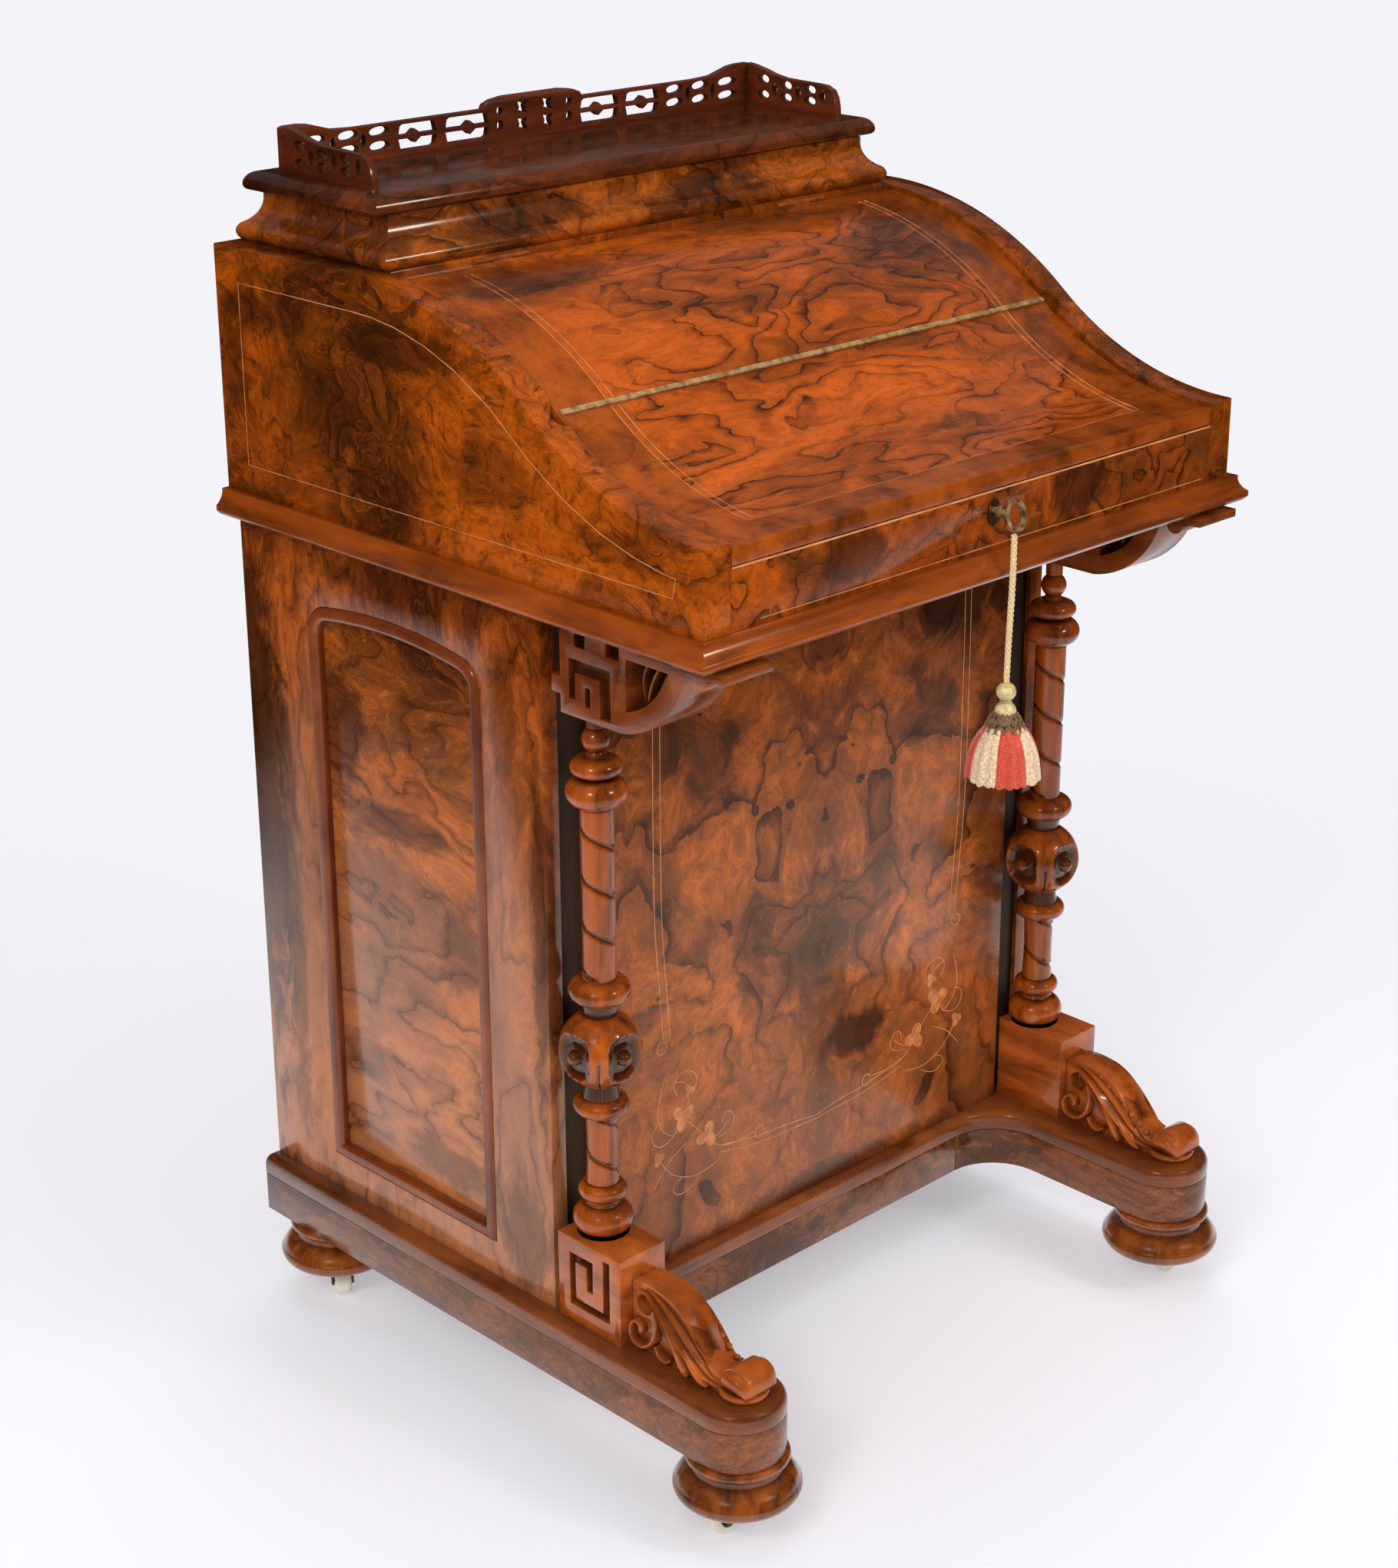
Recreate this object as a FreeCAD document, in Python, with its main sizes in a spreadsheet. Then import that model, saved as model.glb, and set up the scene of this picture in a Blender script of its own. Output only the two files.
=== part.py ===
"""Davenport desk: sloping writing lid, stationery box, pedestal with side drawers, on castors.

Frame: X to the sitter's right, the front faces -Y, Z up from the floor. The origin is on the
floor under the middle of the desk. Millimetres.
"""

import FreeCAD, Part
import math
import os
import re
import sys
import Sketcher

SIZES = {
    # Feet and plinth
    "foot_line": 241.5,
    "front_foot": 226.0,
    "rear_foot": 226.0,
    "foot_bottom": 31.0,
    "foot_radius": 46.0,
    "foot_curve": 8.0,
    "foot_band_up": 9.5,
    "shoulder_in": 5.0,
    "shoulder_up": 15.0,
    "shoulder_curve": 7.0,
    "cove_in": 10.0,
    "cove_up": 19.5,
    "cove_curve": 9.0,
    "collar_in": 7.5,
    "collar_low": 20.0,
    "neck_in": 12.0,
    "neck_low": 25.0,
    "neck_high": 28.0,
    "socket_deep": 19.0,
    "rail_bottom": 66.0,
    "rail_top": 98.0,
    "rail_half": 34.5,
    "cross_front": 76.0,
    "cross_deep": 36.0,
    "knee_curve": 45.0,
    "cap_top": 113.0,
    "cap_round": 7.0,
    # Castors
    "wheel_radius": 12.0,
    "wheel_wide": 13.0,
    "wheel_trail": 11.0,
    "axle_radius": 2.0,
    "stem_radius": 3.5,
    "stem_high": 17.0,
    "crown_radius": 11.0,
    "crown_gap": 0.5,
    "crown_over_wheel": 0.6,
    "fork_half": 6.0,
    "fork_thick": 2.0,
    "fork_gap": 0.4,
    "fork_sweep": 24.0,
    "eye_radius": 4.5,
    "tread_round": 3.0,
    "castor_play": 0.05,
    # Pedestal
    "desk_back": 272.0,
    "side_out": 262.0,
    "side_thick": 14.0,
    "side_front": 60.0,
    "board_front": 56.0,
    "board_thick": 16.0,
    "panel_half": 218.0,
    "panel_front": 68.0,
    "pedestal_back_thick": 12.0,
    # Arched side panel
    "arch_front": 4.0,
    "arch_wide": 192.0,
    "arch_bottom": 141.0,
    "arch_spring": 568.0,
    "arch_top": 598.0,
    "arch_corner": 24.0,
    "arch_bead": 11.0,
    "arch_reveal": 6.0,
    "arch_bead_proud": 2.0,
    "arch_bead_round": 4.0,
    "rebate": 9.0,
    # Drawers
    "drawer_wide": 262.0,
    "drawer_front": 25.0,
    "drawer_low": 120.0,
    "drawer_step": 8.5,
    "drawer_rail": 12.0,
    "drawer_play": 0.7,
    "drawer_face": 18.0,
    "drawer_wall": 8.0,
    "drawer_deep": 476.0,
    "drawer_base": 7.0,
    "drawer_face_round": 1.2,
    "runner_wide": 14.0,
    "guide_high": 30.0,
    "knob_apart": 70.0,
    "knob_long": 23.0,
    "knob_radius": 13.0,
    "knob_dome": 7.0,
    "knob_curve": 12.0,
    "knob_foot": 8.0,
    "knob_foot_high": 2.5,
    "knob_neck": 5.0,
    "knob_neck_low": 6.0,
    "knob_neck_high": 9.0,
    # Columns
    "column_line": 240.4,
    "column_out": 89.3,
    "column_core": 12.0,
    "ball_radius": 29.6,
    "ball_middle": 327.0,
    "column_neck": 6.5,
    "column_knob": 9.8,
    "knob_middle": 556.0,
    # Blocks, brackets and scrolls
    "block_in": 221.4,
    "block_out": 265.3,
    "block_back": 68.0,
    "block_front": 133.0,
    "block_top": 183.0,
    "bracket_back": 83.0,
    "bracket_front": 141.0,
    "bracket_bottom": 580.0,
    "bracket_plate": 6.0,
    "plate_front": 236.0,
    "arm_front": 202.0,
    "arm_radius": 74.0,
    "arm_thick": 14.0,
    "bump_radius": 7.5,
    "fret_deep": 7.0,
    "scroll_half": 20.0,
    "crest_out": 158.0,
    "crest_up": 54.5,
    "crest_curve": 60.0,
    "leaf_out": 196.0,
    "leaf_up": 29.0,
    "leaf_curve": 44.0,
    "dip_out": 222.0,
    "dip_up": 13.0,
    "dip_curve": 60.0,
    "roll_out": 236.0,
    "roll_up": 25.0,
    "roll_curve": 15.0,
    "tip_out": 250.0,
    "tip_curve": 14.0,
    "heel_out": 244.0,
    "scroll_back_high": 53.0,
    "scroll_eye_out": 145.0,
    "scroll_eye_up": 37.0,
    "scroll_eye": 8.0,
    # Desk case
    "case_half": 270.0,
    "case_front": 222.5,
    "case_floor": 642.0,
    "case_floor_thick": 12.0,
    "case_top": 841.5,
    "cheek_thick": 24.0,
    "frieze_thick": 18.0,
    "frieze_top": 706.0,
    "cheek_front_top": 722.0,
    "ogee_start": 115.0,
    "ogee_upper": 282.0,
    "case_back_thick": 12.0,
    "hinge_rail_front": 102.2,
    "hinge_rail_thick": 18.0,
    "notch_radius": 9.0,
    "notch_back": 67.0,
    "notch_high": 80.0,
    # Case moulding
    "lip_out": 12.0,
    "lip_bottom": 645.0,
    "lip_top": 664.0,
    "lip_round": 3.0,
    "lip_step": 7.0,
    "lip_in": 6.0,
    "lip_cove": 14.0,
    # Writing lid
    "lid_sink": 3.5,
    "lid_thick": 12.0,
    "lid_play": 0.7,
    "lid_back": 97.8,
    "rest_low": 37.6,
    "rest_high": 38.5,
    "rest_proud": 2.6,
    # Hinges
    "hinge_line": 150.0,
    "hinge_half": 25.0,
    "hinge_tab": 8.0,
    "hinge_gap": 0.3,
    "leaf_near": 1.0,
    "leaf_far": 2.2,
    "leaf_long": 12.0,
    "leaf_root": 2.3,
    "knuckle": 1.9,
    "pin": 0.9,
    "pin_play": 0.05,
    "desk_pivot_back": 100.0,
    "desk_pivot_up": 838.5,
    "box_pivot_back": 259.2,
    "box_pivot_up": 877.5,
    # Lock and key
    "key_side": 3.0,
    "key_up": 692.0,
    "lock_thick": 12.0,
    "lock_half": 30.0,
    "lock_bottom": 668.0,
    "lock_top": 705.5,
    "bit_room": 10.0,
    "bit_room_near": 1.2,
    "bit_room_deep": 5.3,
    "cover_cut": 1.5,
    "slot_half": 1.6,
    "slot_drop": 9.8,
    "bolt_half": 12.0,
    "bolt_bottom": 684.0,
    "bolt_top": 705.0,
    "bolt_play": 0.35,
    "bolt_near": 7.45,
    "bolt_far": 10.25,
    "mortise_near": 6.0,
    "mortise_deep": 8.0,
    "shank_radius": 2.5,
    "keyhole_radius": 3.4,
    "keyhole_half": 2.0,
    "keyhole_drop": 10.0,
    "plate_thick": 1.2,
    "plate_radius": 5.5,
    "plate_rise": 4.0,
    "shank_back": 198.0,
    "shank_collar": 1.5,
    "collar_long": 3.0,
    "bit_half": 1.25,
    "bit_drop": 9.4,
    "bit_near": 1.7,
    "bit_wide": 4.3,
    "bow_out": 242.0,
    "bow_round": 8.5,
    "bow_rise": 3.0,
    "bow_thick": 2.6,
    "bow_ring": 3.0,
    # Cord and tassel
    "cord_thick": 4.8,
    "cord_bottom": 573.0,
    "tassel_out": 240.0,
    "tassel_bottom": 490.0,
    "tassel_radius": 27.0,
    "skirt_round": 20.0,
    "skirt_edge": 8.0,
    "waist_radius": 13.0,
    "waist_up": 40.0,
    "throat_radius": 7.0,
    "throat_up": 56.5,
    "throat_curve": 14.0,
    "knot_radius": 7.5,
    "knot_up": 70.0,
    # Stationery box
    "box_half": 250.0,
    "box_front": 102.0,
    "box_wall_top": 876.5,
    "box_neck": 15.0,
    "box_foot_in": 3.0,
    "box_foot_high": 12.0,
    "box_foot_round": 8.0,
    "box_cove_up": 30.0,
    "box_cove": 20.4,
    "well_half": 225.0,
    "well_front": 127.0,
    "well_back": 247.0,
    "rack_bottom": 797.0,
    "rack_top": 870.0,
    "rack_wall": 4.0,
    "rack_divider": 75.0,
    "box_lid_half": 247.5,
    "box_lid_front": 113.0,
    "box_lid_back": 264.0,
    "box_lid_bottom": 877.1,
    "box_lid_top": 890.5,
    "box_lid_round": 4.0,
    "box_lid_curve": 9.4,
    "seat_back": 1.5,
    # Gallery
    "gallery_half": 232.5,
    "gallery_front": 135.0,
    "gallery_back": 240.0,
    "gallery_thick": 6.0,
    "gallery_low": 914.5,
    "gallery_high": 922.0,
    "hump_half": 47.0,
    "corner_rise": 45.0,
    "rise_run": 8.0,
    "rise_curve": 14.0,
    "hump_run": 12.0,
    "hump_curve": 16.0,
    "end_curve": 60.0,
    "end_round": 16.0,
    "slot_low": 7.0,
    "slot_high": 6.0,
    "slot_post": 3.0,
}

DRAWERS = 4
# Turned rings of a column: name, bottom, top and radius.
COLUMN_RINGS = [
    ("base_ring", 183.0, 205.0, 21.9),
    ("bell_ring", 210.0, 222.0, 17.7),
    ("waist_ring", 277.0, 290.0, 20.2),
    ("middle_ring", 364.0, 380.0, 22.2),
    ("neck_ring", 509.0, 529.0, 21.6),
    ("upper_ring", 531.0, 543.0, 18.2),
]
for ring_name, ring_low, ring_high, ring_out in COLUMN_RINGS:
    SIZES[ring_name + "_low"] = ring_low
    SIZES[ring_name + "_high"] = ring_high
    SIZES[ring_name + "_out"] = ring_out

# Formulas that several pieces share
FOOT_IN = "(foot_line - rail_half)"
FOOT_OUT = "(foot_line + rail_half)"
SIDE_IN = "(side_out - side_thick)"
CHEEK_IN = "(case_half - cheek_thick)"
OGEE_RUN = "(ogee_start + case_front)"
OGEE_DROP = "(case_top - cheek_front_top)"
OGEE_TURN = "(2 * atan(%s / %s))" % (OGEE_DROP, OGEE_RUN)
OGEE_LOWER = "(%s / sin(%s) - ogee_upper)" % (OGEE_RUN, OGEE_TURN)
UPPER_CENTRE = "(case_top - ogee_upper)"
LOWER_CENTRE = "(cheek_front_top + %s)" % OGEE_LOWER
ARCH_RISE = "(arch_top - arch_spring)"
ARCH_SIDE = "(arch_wide / 2 - arch_corner)"
ARCH_SPAN = "(%s^2 + %s^2 - arch_corner^2)" % (ARCH_SIDE, ARCH_RISE)
ARCH_RADIUS = "(%s / 2 / (%s - arch_corner))" % (ARCH_SPAN, ARCH_RISE)

doc = FreeCAD.newDocument("davenport")
sheet = doc.addObject("Spreadsheet::Sheet", "sizes")
for row, (size_name, size) in enumerate(SIZES.items(), start=1):
    sheet.set("A%d" % row, size_name)
    sheet.set("B%d" % row, str(size))
    sheet.setAlias("B%d" % row, size_name)
doc.recompute()


# Tools of the drawing board


def formula(text):
    """Point the size names in a formula at the sheet."""

    def in_sheet(word):
        return "sizes." + word.group() if word.group() in SIZES else word.group()

    return re.sub(r"[a-z_]+", in_sheet, text)


def value(text):
    return float(sheet.evalExpression(formula(text)))


def new_body(label):
    body = doc.addObject("PartDesign::Body", label)
    body.Label = label
    return body


def new_sketch(body, plane, start):
    """A sketch on one of the body's own planes, at the distance start along the plane's axis."""
    sketch = body.newObject("Sketcher::SketchObject", body.Name + "_sketch")
    origin_plane = next(item for item in body.Origin.OriginFeatures if item.Role == plane + "_Plane")
    sketch.AttachmentSupport = [(origin_plane, "")]
    sketch.MapMode = "FlatFace"
    side = "-(%s)" if plane == "XZ" else "%s"
    sketch.setExpression("AttachmentOffset.Base.z", formula(side % start))
    return sketch


def arc_between(start, end, radius):
    """The shorter arc from start to end: a positive radius turns left, a negative one right."""
    chord = end.sub(start)
    rise = max(radius**2 - (chord.Length / 2) ** 2, 0) ** 0.5
    left = FreeCAD.Vector(-chord.y, chord.x, 0).normalize()
    centre = (start + end).multiply(0.5) + left.multiply(rise if radius > 0 else -rise)
    circle = Part.Circle(centre, FreeCAD.Vector(0, 0, 1), abs(radius))
    first, last = (start, end) if radius > 0 else (end, start)
    return Part.ArcOfCircle(circle, circle.parameter(first), circle.parameter(last))


def draw(sketch, corners):
    """One closed outline, its corners tied to the sheet. A third item is the radius of the arc
    that reaches the corner."""
    points = [FreeCAD.Vector(value(corner[0]), value(corner[1]), 0) for corner in corners]
    radii = [value(corner[2]) if len(corner) > 2 else 0 for corner in corners]
    ends = [1 if radius < 0 else 2 for radius in radii]
    constraints = []
    bound = {}
    for index, corner in enumerate(corners):
        if radii[index]:
            sketch.addGeometry(arc_between(points[index - 1], points[index], radii[index]))
        else:
            sketch.addGeometry(Part.LineSegment(points[index - 1], points[index]))
        after = (index + 1) % len(corners)
        meeting = Sketcher.Constraint("Coincident", index, ends[index], after, 3 - ends[after])
        constraints.append(meeting)
        for kind, place, text in zip(("DistanceX", "DistanceY"), points[index], corner):
            bound[len(constraints)] = text
            constraints.append(Sketcher.Constraint(kind, index, ends[index], place))
        if radii[index]:
            bound[len(constraints)] = "abs(%s)" % corner[2]
            constraints.append(Sketcher.Constraint("Radius", index, abs(radii[index])))
    sketch.addConstraint(constraints)
    for number, text in bound.items():
        sketch.setExpression("Constraints[%d]" % number, formula(text))


def draw_circle(sketch, across, up, radius):
    centre = FreeCAD.Vector(value(across), value(up), 0)
    sketch.addGeometry(Part.Circle(centre, FreeCAD.Vector(0, 0, 1), value(radius)))
    sketch.addConstraint(
        [
            Sketcher.Constraint("DistanceX", 0, 3, centre.x),
            Sketcher.Constraint("DistanceY", 0, 3, centre.y),
            Sketcher.Constraint("Radius", 0, value(radius)),
        ]
    )
    for number, text in enumerate((across, up, radius)):
        sketch.setExpression("Constraints[%d]" % number, formula(text))


def rectangle(low_across, high_across, low_up, high_up):
    return [(low_across, low_up), (high_across, low_up), (high_across, high_up), (low_across, high_up)]


def shape_sketch(body, plane, start, outline):
    """A sketch of an outline, or of a circle given as (across, up, radius)."""
    sketch = new_sketch(body, plane, start)
    if isinstance(outline, tuple):
        draw_circle(sketch, *outline)
    else:
        draw(sketch, outline)
    return sketch


def pad(body, plane, start, length, outline):
    """Add an outline to a body, from start along the plane's axis."""
    feature = body.newObject("PartDesign::Pad", body.Name + "_pad")
    feature.Profile = shape_sketch(body, plane, start, outline)
    feature.setExpression("Length", formula(length))
    feature.Reversed = plane == "XZ"
    body.Tip = feature
    return feature


def pocket(body, plane, start, length, outline):
    """Cut an outline out of a body, from start along the plane's axis."""
    doc.recompute()
    before = body.Shape.Volume
    feature = body.newObject("PartDesign::Pocket", body.Name + "_pocket")
    feature.Profile = shape_sketch(body, plane, start, outline)
    feature.setExpression("Length", formula(length))
    feature.Reversed = plane != "XZ"
    body.Tip = feature
    doc.recompute()
    if body.Shape.Volume > before - 0.1:
        sys.exit("a pocket of %s cuts nothing" % body.Label)
    return feature


def soften(body, radius, wanted=None):
    """Round the edges of a body that the test picks, or all of them."""
    doc.recompute()
    solid = body.Tip
    edges = solid.Shape.Edges
    names = ["Edge%d" % n for n, edge in enumerate(edges, start=1) if wanted is None or wanted(edge)]
    feature = body.newObject("PartDesign::Fillet", body.Name + "_fillet")
    feature.Base = (solid, names)
    feature.setExpression("Radius", formula(radius))
    body.Tip = feature
    return feature


def slab(label, plane, start, length, outline):
    body = new_body(label)
    pad(body, plane, start, length, outline)
    return body


def board(label, across, deep, up, ease=None):
    """A plain board between two places along X, Y and Z."""
    body = slab(label, "XY", up[0], "%s - (%s)" % (up[1], up[0]), rectangle(*across, *deep))
    if ease:
        soften(body, ease)
    return body


def place(item, across="0", deep="0", up="0"):
    for axis, text in zip("xyz", (across, deep, up)):
        item.setExpression("Placement.Base." + axis, formula(text))
    return item


def turned(label, profile):
    """A piece turned about Z from a profile of (radius, height) corners."""
    body = new_body(label)
    sketch = new_sketch(body, "XZ", "0")
    draw(sketch, profile)
    feature = body.newObject("PartDesign::Revolution", label + "_turning")
    feature.Profile = sketch
    feature.ReferenceAxis = (sketch, ["V_Axis"])
    feature.Angle = 360
    body.Tip = feature
    return body


def bead(low, high, radius):
    """A rounded ring on a turned profile."""
    half = "((%s) - (%s)) / 2" % (high, low)
    shoulder = "%s - %s" % (radius, half)
    middle = "((%s) + (%s)) / 2" % (high, low)
    return [(shoulder, low), (radius, middle, half), (shoulder, high, half)]


def mirrored(label, source, across=True):
    mirror = doc.addObject("Part::Mirroring", label)
    mirror.Label = label
    mirror.Source = source
    mirror.Normal = FreeCAD.Vector(1, 0, 0) if across else FreeCAD.Vector(0, 1, 0)
    return mirror


def copy_of(source, across, deep, up="0"):
    link = doc.addObject("App::Link", source.Name + "_copy")
    link.LinkedObject = source
    return place(link, across, deep, up)


def group(label, members):
    compound = doc.addObject("Part::Compound", label)
    compound.Label = label
    compound.Links = members
    return compound


def combined(label, kind, first, second):
    result = doc.addObject("Part::" + kind, label)
    result.Label = label
    result.Base = first
    result.Tool = second
    return result


# Feet, castors and plinth


def bun_feet():
    collar = "foot_radius - collar_in"
    neck = "foot_radius - neck_in"
    profile = [
        ("0", "foot_bottom"),
        ("foot_radius - foot_curve", "foot_bottom"),
        ("foot_radius", "foot_bottom + foot_curve", "foot_curve"),
        ("foot_radius", "foot_bottom + foot_band_up"),
        ("foot_radius - shoulder_in", "foot_bottom + shoulder_up", "shoulder_curve"),
        ("foot_radius - cove_in", "foot_bottom + cove_up", "-cove_curve"),
    ]
    profile += bead("foot_bottom + collar_low", "foot_bottom + neck_low", collar)
    profile += [(neck, "foot_bottom + neck_low"), (neck, "foot_bottom + neck_high")]
    profile += bead("foot_bottom + neck_high", "rail_bottom", collar)
    profile += [("0", "rail_bottom")]
    foot = turned("bun_foot", profile)
    socket = ("0", "0", "stem_radius + castor_play")
    pocket(foot, "XY", "foot_bottom", "socket_deep", socket)
    front = [copy_of(foot, side + "foot_line", "-front_foot") for side in ("-", "")]
    rear = [copy_of(foot, side + "foot_line", "rear_foot") for side in ("-", "")]
    return group("bun_feet", front + rear)


def castor_fork():
    """Stem, crown, two arms and axle, trailing along +X."""
    crown_top = "foot_bottom - crown_gap"
    crown_bottom = "2 * wheel_radius + crown_over_wheel"
    profile = [
        ("0", crown_bottom),
        ("crown_radius", crown_bottom),
        ("crown_radius", crown_top),
        ("stem_radius", crown_top),
        ("stem_radius", "foot_bottom + stem_high"),
        ("0", "foot_bottom + stem_high"),
    ]
    fork = turned("castor_fork", profile)
    arm = [
        ("-fork_half", crown_top),
        ("-fork_half", "wheel_radius + 1.5 * eye_radius"),
        ("wheel_trail - 0.9 * eye_radius", "wheel_radius - 0.4 * eye_radius", "fork_sweep"),
        ("wheel_trail", "wheel_radius - eye_radius", "eye_radius"),
        ("wheel_trail + eye_radius", "wheel_radius", "eye_radius"),
        ("wheel_trail + eye_radius / 4", crown_top),
    ]
    inside = "(wheel_wide / 2 + fork_gap)"
    pad(fork, "XZ", "-%s - fork_thick" % inside, "fork_thick", arm)
    pad(fork, "XZ", inside, "fork_thick", arm)
    pad(fork, "XZ", "-" + inside, "2 * " + inside, ("wheel_trail", "wheel_radius", "axle_radius"))
    return fork


def castor_wheel():
    """A wheel on the fork's axle, turned about Y."""
    half = "wheel_wide / 2"
    rim = ("wheel_trail", "wheel_radius", "wheel_radius")
    bore = ("wheel_trail", "wheel_radius", "axle_radius + castor_play")
    wheel = slab("castor_wheel", "XZ", "-" + half, "wheel_wide", rim)
    soften(wheel, "tread_round")
    pocket(wheel, "XZ", "-" + half, "wheel_wide", bore)
    return wheel


def castors():
    """Four castors, each turned its own way."""
    fork = castor_fork()
    wheel = castor_wheel()
    corners = [
        ("front_left", "-foot_line", "-front_foot", 160),
        ("front_right", "foot_line", "-front_foot", 0),
        ("rear_left", "-foot_line", "rear_foot", -122),
        ("rear_right", "foot_line", "rear_foot", 75),
    ]
    nodes = []
    for name, across, deep, turn in corners:
        for piece, kind in ((fork, "castor_fork_"), (wheel, "castor_wheel_")):
            castor = copy_of(piece, across, deep)
            castor.Label = kind + name
            castor.setExpression("Placement.Rotation.Angle", str(turn))
            nodes.append(castor)
    return nodes


def plinth_side(label):
    outline = [
        ("-" + FOOT_OUT, "desk_back"),
        ("-" + FOOT_OUT, "-front_foot"),
        ("-foot_line", "-front_foot - rail_half", "rail_half"),
        ("-" + FOOT_IN, "-front_foot", "rail_half"),
        ("-" + FOOT_IN, "-cross_front - knee_curve"),
        ("knee_curve - %s" % FOOT_IN, "-cross_front", "-knee_curve"),
        ("knee_curve - %s" % FOOT_IN, "cross_deep - cross_front"),
        ("-" + FOOT_IN, "cross_deep - cross_front"),
        ("-" + FOOT_IN, "desk_back"),
    ]
    return slab(label, "XY", "rail_bottom", "rail_top - rail_bottom", outline)


def plinth_cap():
    """The moulded ledge that runs round the toes, along the sides and across the knee space."""
    left = [
        ("-" + FOOT_OUT, "desk_back"),
        ("-" + FOOT_OUT, "-front_foot"),
        ("-foot_line", "-front_foot - rail_half", "rail_half"),
        ("-" + FOOT_IN, "-front_foot", "rail_half"),
        ("-" + FOOT_IN, "-cross_front - knee_curve"),
        ("knee_curve - %s" % FOOT_IN, "-cross_front", "-knee_curve"),
    ]
    right = [
        (FOOT_IN + " - knee_curve", "-cross_front"),
        (FOOT_IN, "-cross_front - knee_curve", "-knee_curve"),
        (FOOT_IN, "-front_foot"),
        ("foot_line", "-front_foot - rail_half", "rail_half"),
        (FOOT_OUT, "-front_foot", "rail_half"),
        (FOOT_OUT, "desk_back"),
    ]
    inner = [
        ("side_out", "desk_back"),
        ("side_out", "-side_front"),
        (SIDE_IN, "-side_front"),
        (SIDE_IN, "-board_front"),
        ("panel_half", "-board_front"),
        ("panel_half", "-panel_front"),
    ]
    opposite = [("-" + across, deep) for across, deep in reversed(inner)]
    cap = slab("plinth_cap", "XY", "rail_top", "cap_top - rail_top", left + right + inner + opposite)
    top = value("cap_top")
    inside = value("side_out") + 0.5
    ledge = -value("panel_front") - 0.5

    def outer_top(edge):
        box = edge.BoundBox
        middle = edge.valueAt((edge.FirstParameter + edge.LastParameter) / 2)
        on_top = box.ZMin > top - 0.1
        exposed = abs(middle.x) > inside or middle.y < ledge
        return on_top and exposed and middle.y < value("desk_back") - 0.5

    soften(cap, "cap_round", outer_top)
    return cap


def plinth():
    left = plinth_side("plinth_side_left")
    half = FOOT_IN + " - knee_curve"
    up = ("rail_bottom", "rail_top")
    front_deep = ("-cross_front", "cross_deep - cross_front")
    back_deep = ("desk_back - cross_deep", "desk_back")
    front = board("plinth_front_rail", ("-(%s)" % half, half), front_deep, up)
    back = board("plinth_back_rail", ("-" + FOOT_IN, FOOT_IN), back_deep, up)
    return [left, mirrored("plinth_side_right", left), front, back, plinth_cap()]


# Pedestal


def arch_outline(inset):
    """The arched panel opening as (Y, Z) corners, drawn in by an inset."""
    middle = "(arch_front + arch_wide / 2)"
    side = "(arch_wide / 2 - %s)" % inset
    reach = "((%s - %s) / (%s - arch_corner))" % (ARCH_RADIUS, inset, ARCH_RADIUS)
    centre = "(arch_top - %s)" % ARCH_RADIUS
    shoulder = "%s * %s" % (ARCH_SIDE, reach)
    shoulder_up = "%s + (arch_spring - %s) * %s" % (centre, centre, reach)
    corner = "arch_corner - %s" % inset
    bottom = "arch_bottom + %s" % inset
    return [
        ("%s - %s" % (middle, side), bottom),
        ("%s + %s" % (middle, side), bottom),
        ("%s + %s" % (middle, side), "arch_spring"),
        ("%s + %s" % (middle, shoulder), shoulder_up, corner),
        ("%s - %s" % (middle, shoulder), shoulder_up, "%s - %s" % (ARCH_RADIUS, inset)),
        ("%s - %s" % (middle, side), "arch_spring", corner),
    ]


def side_left():
    """Framed side with a blind arched panel and the bead round it."""
    outline = rectangle("-side_front", "desk_back", "rail_top", "case_floor")
    frame = slab("side_frame_left", "YZ", "-side_out", "side_thick", outline)
    pocket(frame, "YZ", "-side_out", "side_thick", arch_outline("0"))
    rebate_back = "arch_front + arch_wide + rebate"
    rebated = rectangle("arch_front - rebate", rebate_back, "arch_bottom - rebate", "arch_top + rebate")
    face = "arch_reveal - side_out"
    pocket(frame, "YZ", face, "side_thick - arch_reveal", rebated)
    panel = slab("side_panel_left", "YZ", face, "side_thick - arch_reveal", rebated)
    proud = "-side_out - arch_bead_proud"
    moulding_deep = "arch_reveal + arch_bead_proud"
    moulding = slab("arch_moulding_left", "YZ", proud, moulding_deep, arch_outline("0"))
    pocket(moulding, "YZ", proud, moulding_deep, arch_outline("arch_bead"))
    outermost = value(proud)
    soften(moulding, "arch_bead_round", lambda edge: edge.BoundBox.XMax < outermost + 0.1)
    return [frame, panel, moulding]


def drawer_floor(number):
    """The height of a drawer opening's floor, counted from the lowest."""
    fall = number * (number - 1) / 2
    return "(arch_bottom + %d * (drawer_low + drawer_rail) - %g * drawer_step)" % (number, fall)


def drawer_high(number):
    return "(drawer_low - %d * drawer_step)" % number


def side_right():
    """The drawer side: a frame with rails between the drawers."""
    outline = rectangle("-side_front", "desk_back", "rail_top", "case_floor")
    frame = slab("drawer_frame_right", "YZ", SIDE_IN, "side_thick", outline)
    for number in range(DRAWERS):
        low = drawer_floor(number)
        high = "%s + %s" % (low, drawer_high(number))
        opening = rectangle("-drawer_front", "drawer_wide - drawer_front", low, high)
        pocket(frame, "YZ", SIDE_IN, "side_thick", opening)
    return frame


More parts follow.
